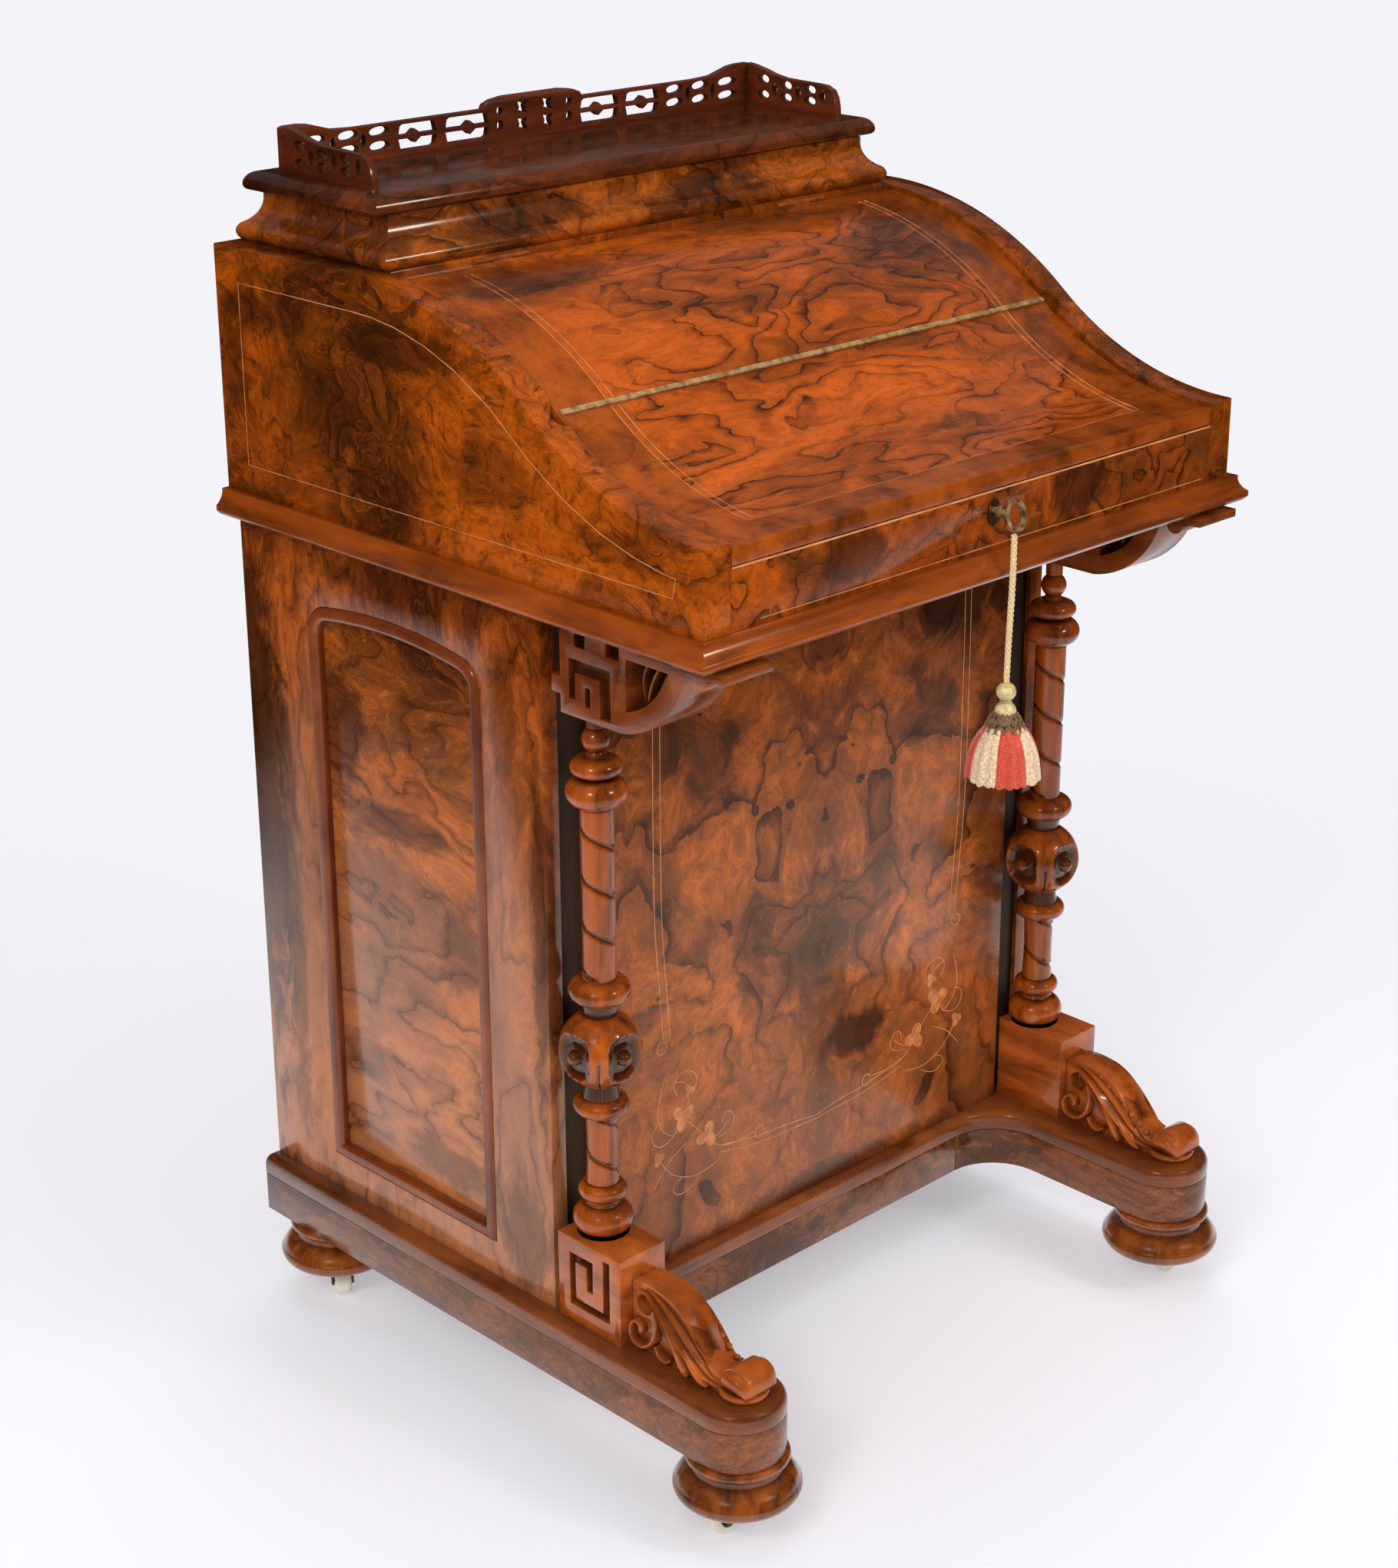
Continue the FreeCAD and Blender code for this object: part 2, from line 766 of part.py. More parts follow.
def drawer_runners():
    """Two rebated runners under each drawer, from side to side of the pedestal."""
    bars = []
    inner_front = "board_thick - board_front"
    inner_back = "desk_back - pedestal_back_thick"
    for number in range(DRAWERS):
        low = drawer_floor(number)
        for wall, guide, tongue in (
            (inner_front, "-drawer_front", "-drawer_front + runner_wide"),
            (inner_back, "drawer_wide - drawer_front", "drawer_wide - drawer_front - runner_wide"),
        ):
            outline = [
                (wall, "%s - drawer_rail" % low),
                (tongue, "%s - drawer_rail" % low),
                (tongue, low),
                (guide, low),
                (guide, "%s + guide_high" % low),
                (wall, "%s + guide_high" % low),
            ]
            bars.append(slab("runner", "YZ", "-" + SIDE_IN, "2 * " + SIDE_IN, outline))
    return group("drawer_runners", bars)


def drawer(number):
    """A drawer box with its front flush in the frame, open at the top."""
    low = "%s + drawer_play" % drawer_floor(number)
    high = "%s + %s - drawer_play" % (drawer_floor(number), drawer_high(number))
    front = "drawer_play - drawer_front"
    back = "drawer_wide - drawer_front - drawer_play"
    label = "drawer_%d" % (number + 1)
    box = slab(label, "YZ", "side_out - drawer_deep", "drawer_deep", rectangle(front, back, low, high))
    sunk = [
        ("side_out - drawer_deep + drawer_wall", front + " + drawer_wall"),
        ("side_out - drawer_face", front + " + drawer_wall"),
        ("side_out - drawer_face", back + " - drawer_wall"),
        ("side_out - drawer_deep + drawer_wall", back + " - drawer_wall"),
    ]
    pocket(box, "XY", low + " + drawer_base", "drawer_low", sunk)
    face = value("side_out")
    soften(box, "drawer_face_round", lambda edge: edge.BoundBox.XMin > face - 0.1)
    return box


def drawer_knobs(knob, number):
    middle = "%s + %s / 2" % (drawer_floor(number), drawer_high(number))
    centre = "drawer_wide / 2 - drawer_front"
    pair = [copy_of(knob, "side_out", "%s %s knob_apart" % (centre, side), middle) for side in "-+"]
    for one in pair:
        one.Placement.Rotation = FreeCAD.Rotation(FreeCAD.Vector(0, 1, 0), 90)
    return group("drawer_knobs_%d" % (number + 1), pair)


def drawer_knob():
    """A turned knob standing along Z."""
    return turned(
        "drawer_knob",
        [
            ("0", "0"),
            ("knob_foot", "0"),
            ("knob_foot", "knob_foot_high"),
            ("knob_neck", "knob_neck_low", "-knob_neck"),
            ("1.1 * knob_neck", "knob_neck_high"),
            ("knob_radius", "knob_long - knob_dome", "-knob_curve"),
            ("0", "knob_long", "(knob_radius^2 + knob_dome^2) / 2 / knob_dome"),
        ],
    )


def pedestal():
    knob = drawer_knob()
    inside = ("-" + SIDE_IN, SIDE_IN)
    up = ("rail_top", "case_floor")
    panel = board("knee_panel", ("-panel_half", "panel_half"), ("-panel_front", "-board_front"), up)
    carcase = board("carcase_front", inside, ("-board_front", "board_thick - board_front"), up)
    back = board("pedestal_back", inside, ("desk_back - pedestal_back_thick", "desk_back"), up)
    boxes = [drawer(number) for number in range(DRAWERS)]
    knobs = [drawer_knobs(knob, number) for number in range(DRAWERS)]
    return side_left() + [panel, carcase, back, side_right(), drawer_runners()] + boxes + knobs


# Columns, blocks, brackets and scrolls


def ball(core, middle, radius):
    """A ball on a turned profile, from the core below it to the core above it."""
    reach = "sqrt(%s^2 - %s^2)" % (radius, core)
    return [
        (core, "%s - %s" % (middle, reach)),
        (radius, middle, radius),
        (core, "%s + %s" % (middle, reach), radius),
    ]


def column():
    """A turned column with five rings, a large ball and a small one that meets the bracket."""
    profile = [("0", "block_top")]
    below = None
    for name, _, _, _ in COLUMN_RINGS:
        if below:
            profile.append(("column_core", below))
            if name == "middle_ring":
                profile += ball("column_core", "ball_middle", "ball_radius")
            profile.append(("column_core", name + "_low"))
        profile += bead(name + "_low", name + "_high", name + "_out")
        below = name + "_high"
    profile += [("column_neck", below)] + ball("column_neck", "knob_middle", "column_knob")
    profile += [("column_neck", "bracket_bottom"), ("0", "bracket_bottom")]
    return place(turned("column_left", profile), "-column_line", "-column_out")


def carve_fret(body, strokes):
    """Square-cut strokes in the outer face, each a (front, back, bottom, top) rectangle."""
    for stroke in strokes:
        pocket(body, "YZ", "-block_out", "fret_deep", rectangle(*stroke))


def base_block():
    across = ("-block_out", "-block_in")
    block = board("base_block_left", across, ("-block_front", "-block_back"), ("cap_top", "block_top"))
    outer_back, outer_front = "-block_back - 18", "-block_front + 18"
    inner_back, inner_front = "-block_back - 30", "-block_back - 36"
    low, high = "cap_top + 21", "block_top - 19"
    strokes = [
        (outer_back, "-block_back - 12", "cap_top + 15", "block_top - 13"),
        (inner_front, outer_back, high, "block_top - 13"),
        (inner_front, inner_back, "cap_top + 32", high),
        ("-block_front + 11.5", outer_back, "cap_top + 15", low),
        ("-block_front + 11.5", outer_front, low, "block_top - 6.5"),
    ]
    carve_fret(block, strokes)
    return block


def bracket():
    """The key-pattern block under the case with its scrolled arm and plate."""
    outline = [
        ("-bracket_front", "bracket_bottom", "arm_radius"),
        ("-bracket_back", "bracket_bottom"),
        ("-bracket_back", "bracket_bottom + 13"),
        ("8.5 - bracket_back", "bracket_bottom + 13"),
        ("8.5 - bracket_back", "bracket_bottom + 25"),
        ("-bracket_back", "bracket_bottom + 25"),
        ("-bracket_back", "case_floor"),
        ("-plate_front", "case_floor"),
        ("-plate_front", "case_floor - bracket_plate"),
        ("-arm_front", "case_floor - bracket_plate"),
    ]
    arm = slab("bracket_left", "YZ", "-block_out", "block_out - block_in", outline)
    bump = ("-(arm_front + bump_radius + 4)", "case_floor - bump_radius", "bump_radius")
    pad(arm, "YZ", "-block_out", "block_out - block_in", bump)
    scroll_hole = [
        ("-bracket_front - 5", "bracket_bottom + 16", "arm_radius - arm_thick"),
        ("-bracket_front - 5", "case_floor - 10"),
        ("16 - arm_front", "case_floor - 10"),
    ]
    pocket(arm, "YZ", "-block_out", "block_out - block_in", scroll_hole)
    meander_front, meander_back = "9.5 - bracket_front", "-bracket_back - 8.5"
    strokes = [
        ("-bracket_back - 24.5", "-bracket_back - 14", "case_floor - 13", "case_floor - 4"),
        ("1 - bracket_front", "14 - bracket_front", "case_floor - 13", "case_floor - 4"),
        ("-bracket_back - 14.5", meander_back, "bracket_bottom + 12", "case_floor - 31"),
        (meander_front, meander_back, "case_floor - 31", "case_floor - 22"),
        (meander_front, "19.5 - bracket_front", "bracket_bottom + 5", "case_floor - 31"),
        ("-bracket_back - 29", "-bracket_back - 24", "bracket_bottom + 9", "bracket_bottom + 23"),
    ]
    carve_fret(arm, strokes)
    return arm


def plinth_scroll():
    """The leaf scroll that runs from the block down to the toe."""
    outline = [
        ("-block_front", "cap_top"),
        ("-block_front", "cap_top + scroll_back_high"),
        ("-crest_out", "cap_top + crest_up", "crest_curve"),
        ("-leaf_out", "cap_top + leaf_up", "leaf_curve"),
        ("-dip_out", "cap_top + dip_up", "-dip_curve"),
        ("-roll_out", "cap_top + roll_up", "roll_curve"),
        ("-tip_out", "cap_top + dip_up", "tip_curve"),
        ("-heel_out", "cap_top", "roll_curve"),
    ]
    outer, wide = "-(foot_line + scroll_half)", "2 * scroll_half"
    leaf = slab("plinth_scroll_left", "YZ", outer, wide, outline)
    pocket(leaf, "YZ", outer, wide, ("-scroll_eye_out", "cap_top + scroll_eye_up", "scroll_eye"))
    return leaf


def front_supports():
    lefts = [column(), base_block(), bracket(), plinth_scroll()]
    return lefts + [mirrored(piece.Label.replace("_left", "_right"), piece) for piece in lefts]


# Desk case


def ogee(sink):
    """The S-shaped line of the case top, sunk by a distance: the place where it changes hand, the
    front end, and the radii of its upper and lower arcs."""
    upper = "(ogee_upper - (%s))" % sink
    lower = "(%s + (%s))" % (OGEE_LOWER, sink)
    turn = (
        "ogee_start - %s * sin(%s)" % (upper, OGEE_TURN),
        "%s + %s * cos(%s)" % (UPPER_CENTRE, upper, OGEE_TURN),
    )
    return turn, ("-case_front", "cheek_front_top - (%s)" % sink), upper, lower


def cheek():
    turn, front, upper, lower = ogee("0")
    outline = [
        ("-case_front", "case_floor"),
        ("desk_back", "case_floor"),
        ("desk_back", "case_top"),
        ("ogee_start", "case_top"),
        turn + (upper,),
        front + ("-" + lower,),
    ]
    side = slab("cheek_left", "YZ", "-case_half", "cheek_thick", outline)
    notch = ("-" + CHEEK_IN, "-notch_back", "notch_radius")
    pocket(side, "XY", "case_top - notch_high - 2", "notch_high", notch)
    return side


def case_boards():
    inside = ("-" + CHEEK_IN, CHEEK_IN)
    behind_frieze = "frieze_thick - case_front"
    back_face = "desk_back - case_back_thick"
    floor_up = ("case_floor", "case_floor + case_floor_thick")
    rail_up = ("case_top - hinge_rail_thick", "case_top")
    floor = board("case_bottom", inside, (behind_frieze, back_face), floor_up)
    back = board("case_back", inside, (back_face, "desk_back"), ("case_floor", "case_top"))
    top = board("hinge_rail", inside, ("hinge_rail_front", back_face), rail_up)
    well = rectangle("-well_half", "well_half", "well_front", "well_back")
    pocket(top, "XY", "case_top - hinge_rail_thick", "hinge_rail_thick", well)
    return [floor, back, top]


def frieze():
    """The front board under the lid, cut for the key."""
    deep = ("-case_front", "frieze_thick - case_front")
    panel = board("frieze", ("-" + CHEEK_IN, CHEEK_IN), deep, ("case_floor", "frieze_top"))
    pocket(panel, "XZ", "-case_front", "frieze_thick", ("key_side", "key_up", "keyhole_radius"))
    across = ("key_side - keyhole_half", "key_side + keyhole_half")
    slot = rectangle(*across, "key_up - keyhole_drop", "key_up")
    pocket(panel, "XZ", "-case_front", "frieze_thick", slot)
    return panel


def falling(profile, line):
    """A profile measured outward from a line, on the left of an outline, from the top down."""
    arcs = [corner[2:] for corner in profile[1:]] + [()]
    pairs = zip(reversed(profile), reversed(arcs))
    return [("%s - (%s)" % (line, corner[0]), corner[1]) + arc for corner, arc in pairs]


def rising(profile, line):
    """A profile measured outward from a line, on the right of an outline, from the foot up."""
    return [("%s + (%s)" % (line, corner[0]),) + corner[1:] for corner in profile]


def mitred(label, along, across, half, front, back):
    """A block whose profile turns its corners: what two crossing extrusions have in common."""
    sides = slab(label + "_sides", "XZ", front, "%s - (%s)" % (back, front), along)
    ends = slab(label + "_ends", "YZ", "-(%s)" % half, "2 * (%s)" % half, across)
    return combined(label, "Common", sides, ends)


def case_moulding():
    """A moulding mitred round the front and sides of the case."""
    profile = [
        ("lip_out - lip_round", "lip_bottom"),
        ("lip_out", "lip_bottom + lip_round"),
        ("lip_out", "lip_bottom + lip_step"),
        ("lip_out - lip_in", "lip_top - lip_round", "-lip_cove"),
        ("lip_out - lip_in", "lip_top"),
    ]
    along = rising(profile, "case_half") + falling(profile, "-case_half")
    across = [("desk_back", "lip_bottom"), ("desk_back", "lip_top")] + falling(profile, "-case_front")
    outer = "case_half + lip_out"
    plate = mitred("moulding_plate", along, across, outer, "-case_front - lip_out", "desk_back")
    faces = ("-case_half", "case_half"), ("-case_front", "desk_back"), ("lip_bottom", "lip_top")
    return combined("case_moulding", "Cut", plate, board("moulding_hollow", *faces))


# Writing lid and hinges


def writing_lid():
    """The serpentine lid between the cheeks, with a mortise for the lock's bolt."""
    turn, front, upper, lower = ogee("lid_sink")
    under_turn, under_front, under_upper, under_lower = ogee("lid_sink + lid_thick")
    back_up = "%s + sqrt(%s^2 - (ogee_start - lid_back)^2)"
    outline = [
        under_front,
        under_turn + (under_lower,),
        ("lid_back", back_up % (UPPER_CENTRE, under_upper), "-" + under_upper),
        ("lid_back", back_up % (UPPER_CENTRE, upper)),
        turn + (upper,),
        front + ("-" + lower,),
    ]
    half = "(%s - lid_play)" % CHEEK_IN
    lid = slab("writing_lid", "YZ", "-" + half, "2 * " + half, outline)
    behind = "frieze_thick - case_front"
    across = ("key_side - bolt_half - 1", "key_side + bolt_half + 1")
    mortise = rectangle(*across, behind + " + mortise_near", behind + " + lock_thick")
    pocket(lid, "XY", "frieze_top - 2", "mortise_deep + 2", mortise)
    return lid


def pen_rest():
    """A brass strip across the lid that keeps pens from rolling down."""
    _, _, _, on_lid = ogee("lid_sink")
    proud = "(%s - rest_proud)" % on_lid
    corners = [(on_lid, "rest_low"), (on_lid, "rest_high"), (proud, "rest_high"), (proud, "rest_low")]
    spots = []
    for reach, angle in corners:
        back = "%s * sin(%s) - case_front" % (reach, angle)
        spots.append((back, "%s - %s * cos(%s)" % (LOWER_CENTRE, reach, angle)))
    spots[1] += (on_lid,)
    spots[3] += ("-" + proud,)
    half = "(%s - 3)" % CHEEK_IN
    return slab("pen_rest", "YZ", "-" + half, "2 * " + half, spots)


def hinge_leaves():
    """One leaf with two outer knuckles and the pin, and one with the middle knuckle, both
    hanging from a pivot along X."""
    fixed = new_body("fixed_leaf")
    side = rectangle("leaf_near", "leaf_far", "-leaf_long", "-leaf_root")
    pad(fixed, "YZ", "-hinge_half", "2 * hinge_half", side)
    outer = "hinge_half - hinge_tab - hinge_gap"
    for start in ("-hinge_half", "hinge_tab + hinge_gap"):
        pad(fixed, "YZ", start, outer, rectangle("leaf_near", "leaf_far", "-leaf_root", "0"))
        pad(fixed, "YZ", start, outer, ("0", "0", "knuckle"))
    pad(fixed, "YZ", "-hinge_half", "2 * hinge_half", ("0", "0", "pin"))
    moving = new_body("moving_leaf")
    side = rectangle("-leaf_far", "-leaf_near", "-leaf_long", "-leaf_root")
    pad(moving, "YZ", "-hinge_half", "2 * hinge_half", side)
    root = rectangle("-leaf_far", "-leaf_near", "-leaf_root", "0")
    pad(moving, "YZ", "-hinge_tab", "2 * hinge_tab", root)
    pad(moving, "YZ", "-hinge_tab", "2 * hinge_tab", ("0", "0", "knuckle"))
    pocket(moving, "YZ", "-hinge_tab", "2 * hinge_tab", ("0", "0", "pin + pin_play"))
    return fixed, moving


def hinges():
    """Two hinges of the writing lid, and two of the stationery box that lie on their backs."""
    fixed, moving = hinge_leaves()
    lying = FreeCAD.Rotation(FreeCAD.Vector(1, 0, 0), -90)
    fixed_leaves, lid_leaves, box_leaves = [], [], []
    for side in ("-hinge_line", "hinge_line"):
        fixed_leaves.append(copy_of(fixed, side, "desk_pivot_back", "desk_pivot_up"))
        lid_leaves.append(copy_of(moving, side, "desk_pivot_back", "desk_pivot_up"))
        under_box = copy_of(fixed, side, "box_pivot_back", "box_pivot_up")
        on_box = copy_of(moving, side, "box_pivot_back", "box_pivot_up")
        for leaf in (under_box, on_box):
            leaf.Placement.Rotation = lying
        fixed_leaves.append(under_box)
        box_leaves.append(on_box)
    return [
        group("hinge_leaves_fixed", fixed_leaves),
        group("lid_hinge_leaves", lid_leaves),
        group("box_hinge_leaves", box_leaves),
    ]


# Lock, key, cord and tassel


def lock():
    """Lock case behind the frieze, its bolt, and the plate round the keyhole."""
    behind = "frieze_thick - case_front"
    across = ("key_side - lock_half", "key_side + lock_half")
    case = board("lock_case", across, (behind, behind + " + lock_thick"), ("lock_bottom", "lock_top"))
    pocket(case, "XZ", behind + " + bit_room_near", "bit_room_deep", ("key_side", "key_up", "bit_room"))
    pocket(case, "XZ", behind, "cover_cut", ("key_side", "key_up", "shank_radius + castor_play"))
    bit_slot = rectangle("key_side - slot_half", "key_side + slot_half", "key_up - slot_drop", "key_up")
    pocket(case, "XZ", behind, "cover_cut", bit_slot)
    slide = ("key_side - bolt_half", "key_side + bolt_half")
    front, back = behind + " + bolt_near", behind + " + bolt_far"
    room = ("key_side - bolt_half - bolt_play", "key_side + bolt_half + bolt_play")
    slot = rectangle(*room, front + " - bolt_play", back + " + bolt_play")
    pocket(case, "XY", "bolt_bottom - 0.5", "lock_top - bolt_bottom + 0.5", slot)
    bolt = board("lock_bolt", slide, (front, back), ("bolt_bottom", "bolt_top"))
    rim = stadium("key_side", "key_up - shank_collar", "plate_radius", "plate_rise")
    plate_front = "-case_front - plate_thick"
    escutcheon = slab("escutcheon", "XZ", plate_front, "plate_thick", rim)
    pocket(escutcheon, "XZ", plate_front, "plate_thick", ("key_side", "key_up", "keyhole_radius"))
    return [case, bolt, escutcheon]


def stadium(across, up, radius, rise):
    """An upright outline with half-round ends, each made of two quarter arcs."""
    right = "%s + %s" % (across, radius)
    left = "%s - (%s)" % (across, radius)
    low = "%s - (%s)" % (up, rise)
    high = "%s + %s" % (up, rise)
    return [
        (right, low, radius),
        (right, high),
        (across, "%s + %s" % (high, radius), radius),
        (left, high, radius),
        (left, low),
        (across, "%s - (%s)" % (low, radius), radius),
    ]


def key():
    """Shank along Y with a bit inside the lock and an open bow in the Y-Z plane."""
    piece = new_body("key")
    centre = ("key_side", "key_up")
    shank = centre + ("shank_radius",)
    pad(piece, "XZ", "bow_round - bow_out - 1", "bow_out - bow_round - shank_back", shank)
    collar = centre + ("shank_radius + shank_collar",)
    pad(piece, "XZ", "bow_round - bow_out + 1", "collar_long", collar)
    bow = stadium("-bow_out", "key_up", "bow_round", "bow_rise")
    pad(piece, "YZ", "key_side - bow_thick / 2", "bow_thick", bow)
    hole = stadium("-bow_out", "key_up", "bow_round - bow_ring", "bow_rise")
    pocket(piece, "YZ", "key_side - bow_thick", "2 * bow_thick", hole)
    bit = rectangle("key_side - bit_half", "key_side + bit_half", "key_up - bit_drop", "key_up - 1")
    pad(piece, "XZ", "frieze_thick - case_front + bit_near", "bit_wide", bit)
    return piece


# The cord's line from the key's bow down to the tassel
CORD_ROUTE = [(3.0, -242.0, 678.6), (3.7, -241.7, 645.0), (2.7, -240.8, 609.0), (3.0, -240.0, 573.0)]


def rounded_wire(corners):
    """Straight runs joined by tangent arcs as large as the shorter run allows."""
    points = [FreeCAD.Vector(*corner) for corner in corners]
    edges = []
    start = points[0]
    for before, corner, after in zip(points, points[1:], points[2:]):
        back = before.sub(corner)
        ahead = after.sub(corner)
        trim = 0.45 * min(back.Length, ahead.Length)
        half_turn = (math.pi - back.getAngle(ahead)) / 2
        print("cord radius %.0f mm" % (trim / math.tan(half_turn)))
        first = corner + back.normalize() * trim
        last = corner + ahead.normalize() * trim
        inward = (back + ahead).normalize()
        middle = corner + inward * (trim / math.tan(half_turn) * (1 / math.cos(half_turn) - 1))
        edges += [Part.LineSegment(start, first).toShape(), Part.Arc(first, middle, last).toShape()]
        start = last
    edges.append(Part.LineSegment(start, points[-1]).toShape())
    return Part.Wire(edges)


def key_cord():
    """The twisted cord that hangs from the bow, swept along its line."""
    line = rounded_wire(CORD_ROUTE)
    radius = value("cord_thick") / 2
    section = Part.Wire(Part.makeCircle(radius, line.Edges[0].valueAt(0), line.Edges[0].tangentAt(0)))
    piece = doc.addObject("Part::Feature", "key_cord")
    piece.Label = "key_cord"
    piece.Shape = line.makePipeShell([section], True, False)
    by_length = math.pi * radius**2 * line.Length
    print("cord volume %.1f, section by length %.1f" % (piece.Shape.Volume, by_length))
    return piece


def tassel():
    profile = [("0", "tassel_bottom"), ("tassel_radius - 1", "tassel_bottom")]
    profile += [
        ("tassel_radius", "tassel_bottom + skirt_edge", "skirt_round"),
        ("waist_radius", "tassel_bottom + waist_up"),
        ("throat_radius", "tassel_bottom + throat_up", "throat_curve"),
    ]
    profile += bead("tassel_bottom + throat_up", "tassel_bottom + knot_up", "knot_radius")[1:]
    profile += bead("tassel_bottom + knot_up", "cord_bottom", "throat_radius")[1:] + [("0", "cord_bottom")]
    return place(turned("tassel", profile), "key_side", "-tassel_out")


# Stationery box and gallery


def box_walls():
    """The moulded sides of the stationery box, mitred at the corners."""
    profile = [
        ("-box_foot_in", "case_top"),
        ("0", "case_top + box_foot_high / 2", "box_foot_round"),
        ("-box_foot_in", "case_top + box_foot_high", "box_foot_round"),
        ("-box_neck", "case_top + box_cove_up", "-box_cove"),
        ("-box_neck", "box_wall_top"),
    ]
    along = rising(profile, "box_half") + falling(profile, "-box_half")
    across = rising(profile, "desk_back") + falling(profile, "box_front")
    block = mitred("box_block", along, across, "box_half", "box_front", "desk_back")
    cavity = ("-well_half", "well_half"), ("well_front", "well_back"), ("case_top", "box_wall_top")
    walls = combined("box_hollow", "Cut", block, board("box_cavity", *cavity))
    seat_bottom = "box_wall_top - leaf_far + leaf_near"
    seats = [hinge_recess(seat_bottom, "box_wall_top", side) for side in "-+"]
    return combined("box_walls", "Cut", walls, group("wall_recesses", seats))


def hinge_recess(low, high, side):
    """A shallow seat for one hinge of the stationery box."""
    across = ("%s hinge_line - hinge_half" % side, "%s hinge_line + hinge_half" % side)
    deep = ("box_pivot_back - leaf_long", "box_lid_back - seat_back")
    return board("hinge_seat", across, deep, (low, high))


def box_rack():
    """A divided tray let into the case under the stationery box."""
    deep = ("well_front", "well_back")
    rack = board("box_rack", ("-well_half", "well_half"), deep, ("rack_bottom", "rack_top"))
    inner = "well_half - rack_wall"
    gap = "rack_wall / 2"
    bays = [
        ("-(%s)" % inner, "-rack_divider - " + gap),
        ("%s - rack_divider" % gap, "rack_divider - " + gap),
        ("rack_divider + " + gap, inner),
    ]
    for low, high in bays:
        bay = rectangle(low, high, "well_front + rack_wall", "well_back - rack_wall")
        pocket(rack, "XY", "rack_bottom + rack_wall", "rack_top - rack_bottom - rack_wall", bay)
    return rack


def box_lid():
    """The moulded lid of the stationery box, seated over its hinges."""
    profile = [
        ("-box_lid_round", "box_lid_bottom"),
        ("0", "box_lid_bottom + box_lid_round", "box_lid_round"),
        ("-box_lid_curve", "box_lid_top", "box_lid_curve"),
    ]
    along = rising(profile, "box_lid_half") + falling(profile, "-box_lid_half")
    across = rising(profile, "box_lid_back") + falling(profile, "box_lid_front")
    block = mitred("lid_block", along, across, "box_lid_half", "box_lid_front", "box_lid_back")
    seat_top = "box_pivot_up + leaf_far"
    seats = [hinge_recess("box_lid_bottom", seat_top, side) for side in "-+"]
    return combined("box_lid", "Cut", block, group("lid_recesses", seats))


def gallery():
    """Pierced gallery: a back with a raised middle and corners, and two falling ends."""
    back_line = [
        ("-gallery_half", "box_lid_top"),
        ("gallery_half", "box_lid_top"),
        ("gallery_half", "gallery_high"),
        ("gallery_half - corner_rise + rise_run", "gallery_high"),
        ("gallery_half - corner_rise", "gallery_low", "-rise_curve"),
        ("hump_half", "gallery_low"),
        ("hump_half - hump_run", "gallery_high", "-hump_curve"),
        ("hump_run - hump_half", "gallery_high"),
        ("-hump_half", "gallery_low", "-hump_curve"),
        ("corner_rise - gallery_half", "gallery_low"),
        ("corner_rise - gallery_half - rise_run", "gallery_high", "-rise_curve"),
        ("-gallery_half", "gallery_high"),
    ]
    rail = slab("gallery", "XZ", "gallery_back - gallery_thick", "gallery_thick", back_line)
    end_line = [
        ("gallery_front", "box_lid_top"),
        ("gallery_back - gallery_thick", "box_lid_top"),
        ("gallery_back - gallery_thick", "gallery_high"),
        ("gallery_back - corner_rise", "gallery_low", "-end_curve"),
        ("gallery_front + end_round", "gallery_low - 2"),
        ("gallery_front", "gallery_low - end_round", "end_round"),
    ]
    for start in ("-gallery_half", "gallery_half - gallery_thick"):
        pad(rail, "YZ", start, "gallery_thick", end_line)
    low = "box_lid_top + slot_low"
    high = "gallery_low - slot_high"
    pitch = "((gallery_half - corner_rise - hump_half) / 4)"
    slots = []
    for number in range(4):
        start = "hump_half + %d * %s" % (number, pitch)
        slots.append(("%s + slot_post" % start, "%s + %s - slot_post" % (start, pitch)))
    slots.append(("slot_post", "hump_half - 5"))
    slots.append(("gallery_half - corner_rise + slot_post", "gallery_half - 12"))
    front = "gallery_back - gallery_thick"
    for start, end in slots:
        pocket(rail, "XZ", front, "gallery_thick", rectangle(start, end, low, high))
        opposite = rectangle("-(%s)" % end, "-(%s)" % start, low, high)
        pocket(rail, "XZ", front, "gallery_thick", opposite)
    end_slots = [("gallery_front + 14", "gallery_front + 46"), ("gallery_front + 52", "gallery_back - 14")]
    for start, end in end_slots:
        pocket(rail, "YZ", "-gallery_half", "2 * gallery_half", rectangle(start, end, low, high))
    return rail


def export(nodes):
    """Stop on a failed object or an unsound shape, then write every piece to its own file."""
    doc.recompute()
    for item in doc.Objects:
        if {"Invalid", "Error"} & set(item.State):
            sys.exit("%s has failed" % item.Label)
    shapes = {node.Label: Part.getShape(node) for node in nodes}
    for label, shape in shapes.items():
        if shape.isNull() or not shape.isValid():
            sys.exit("%s has no sound shape" % label)
    os.makedirs("parts", exist_ok=True)
    for label, shape in shapes.items():
        shape.exportStep("parts/%s.step" % label)
        box = shape.BoundBox
        print("%-24s %2d solids %s" % (label, len(shape.Solids), box))


def main():
    nodes = [bun_feet()] + castors() + plinth() + pedestal() + front_supports()
    left = cheek()
    nodes += [left, mirrored("cheek_right", left)] + case_boards() + [frieze(), case_moulding()]
    nodes += [writing_lid(), pen_rest()] + hinges() + lock() + [key(), key_cord(), tassel()]
    nodes += [box_walls(), box_rack(), box_lid(), gallery()]
    export(nodes)
    print(len(nodes), "nodes")


main()
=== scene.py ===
"""The looks of a davenport desk: burr walnut veneer, turned and carved walnut, brass, china and silk.

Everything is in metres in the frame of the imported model: X to the sitter's right, the front
faces -Y, Z up from the floor. Sizes are written in millimetres and turned to metres by MM.
"""

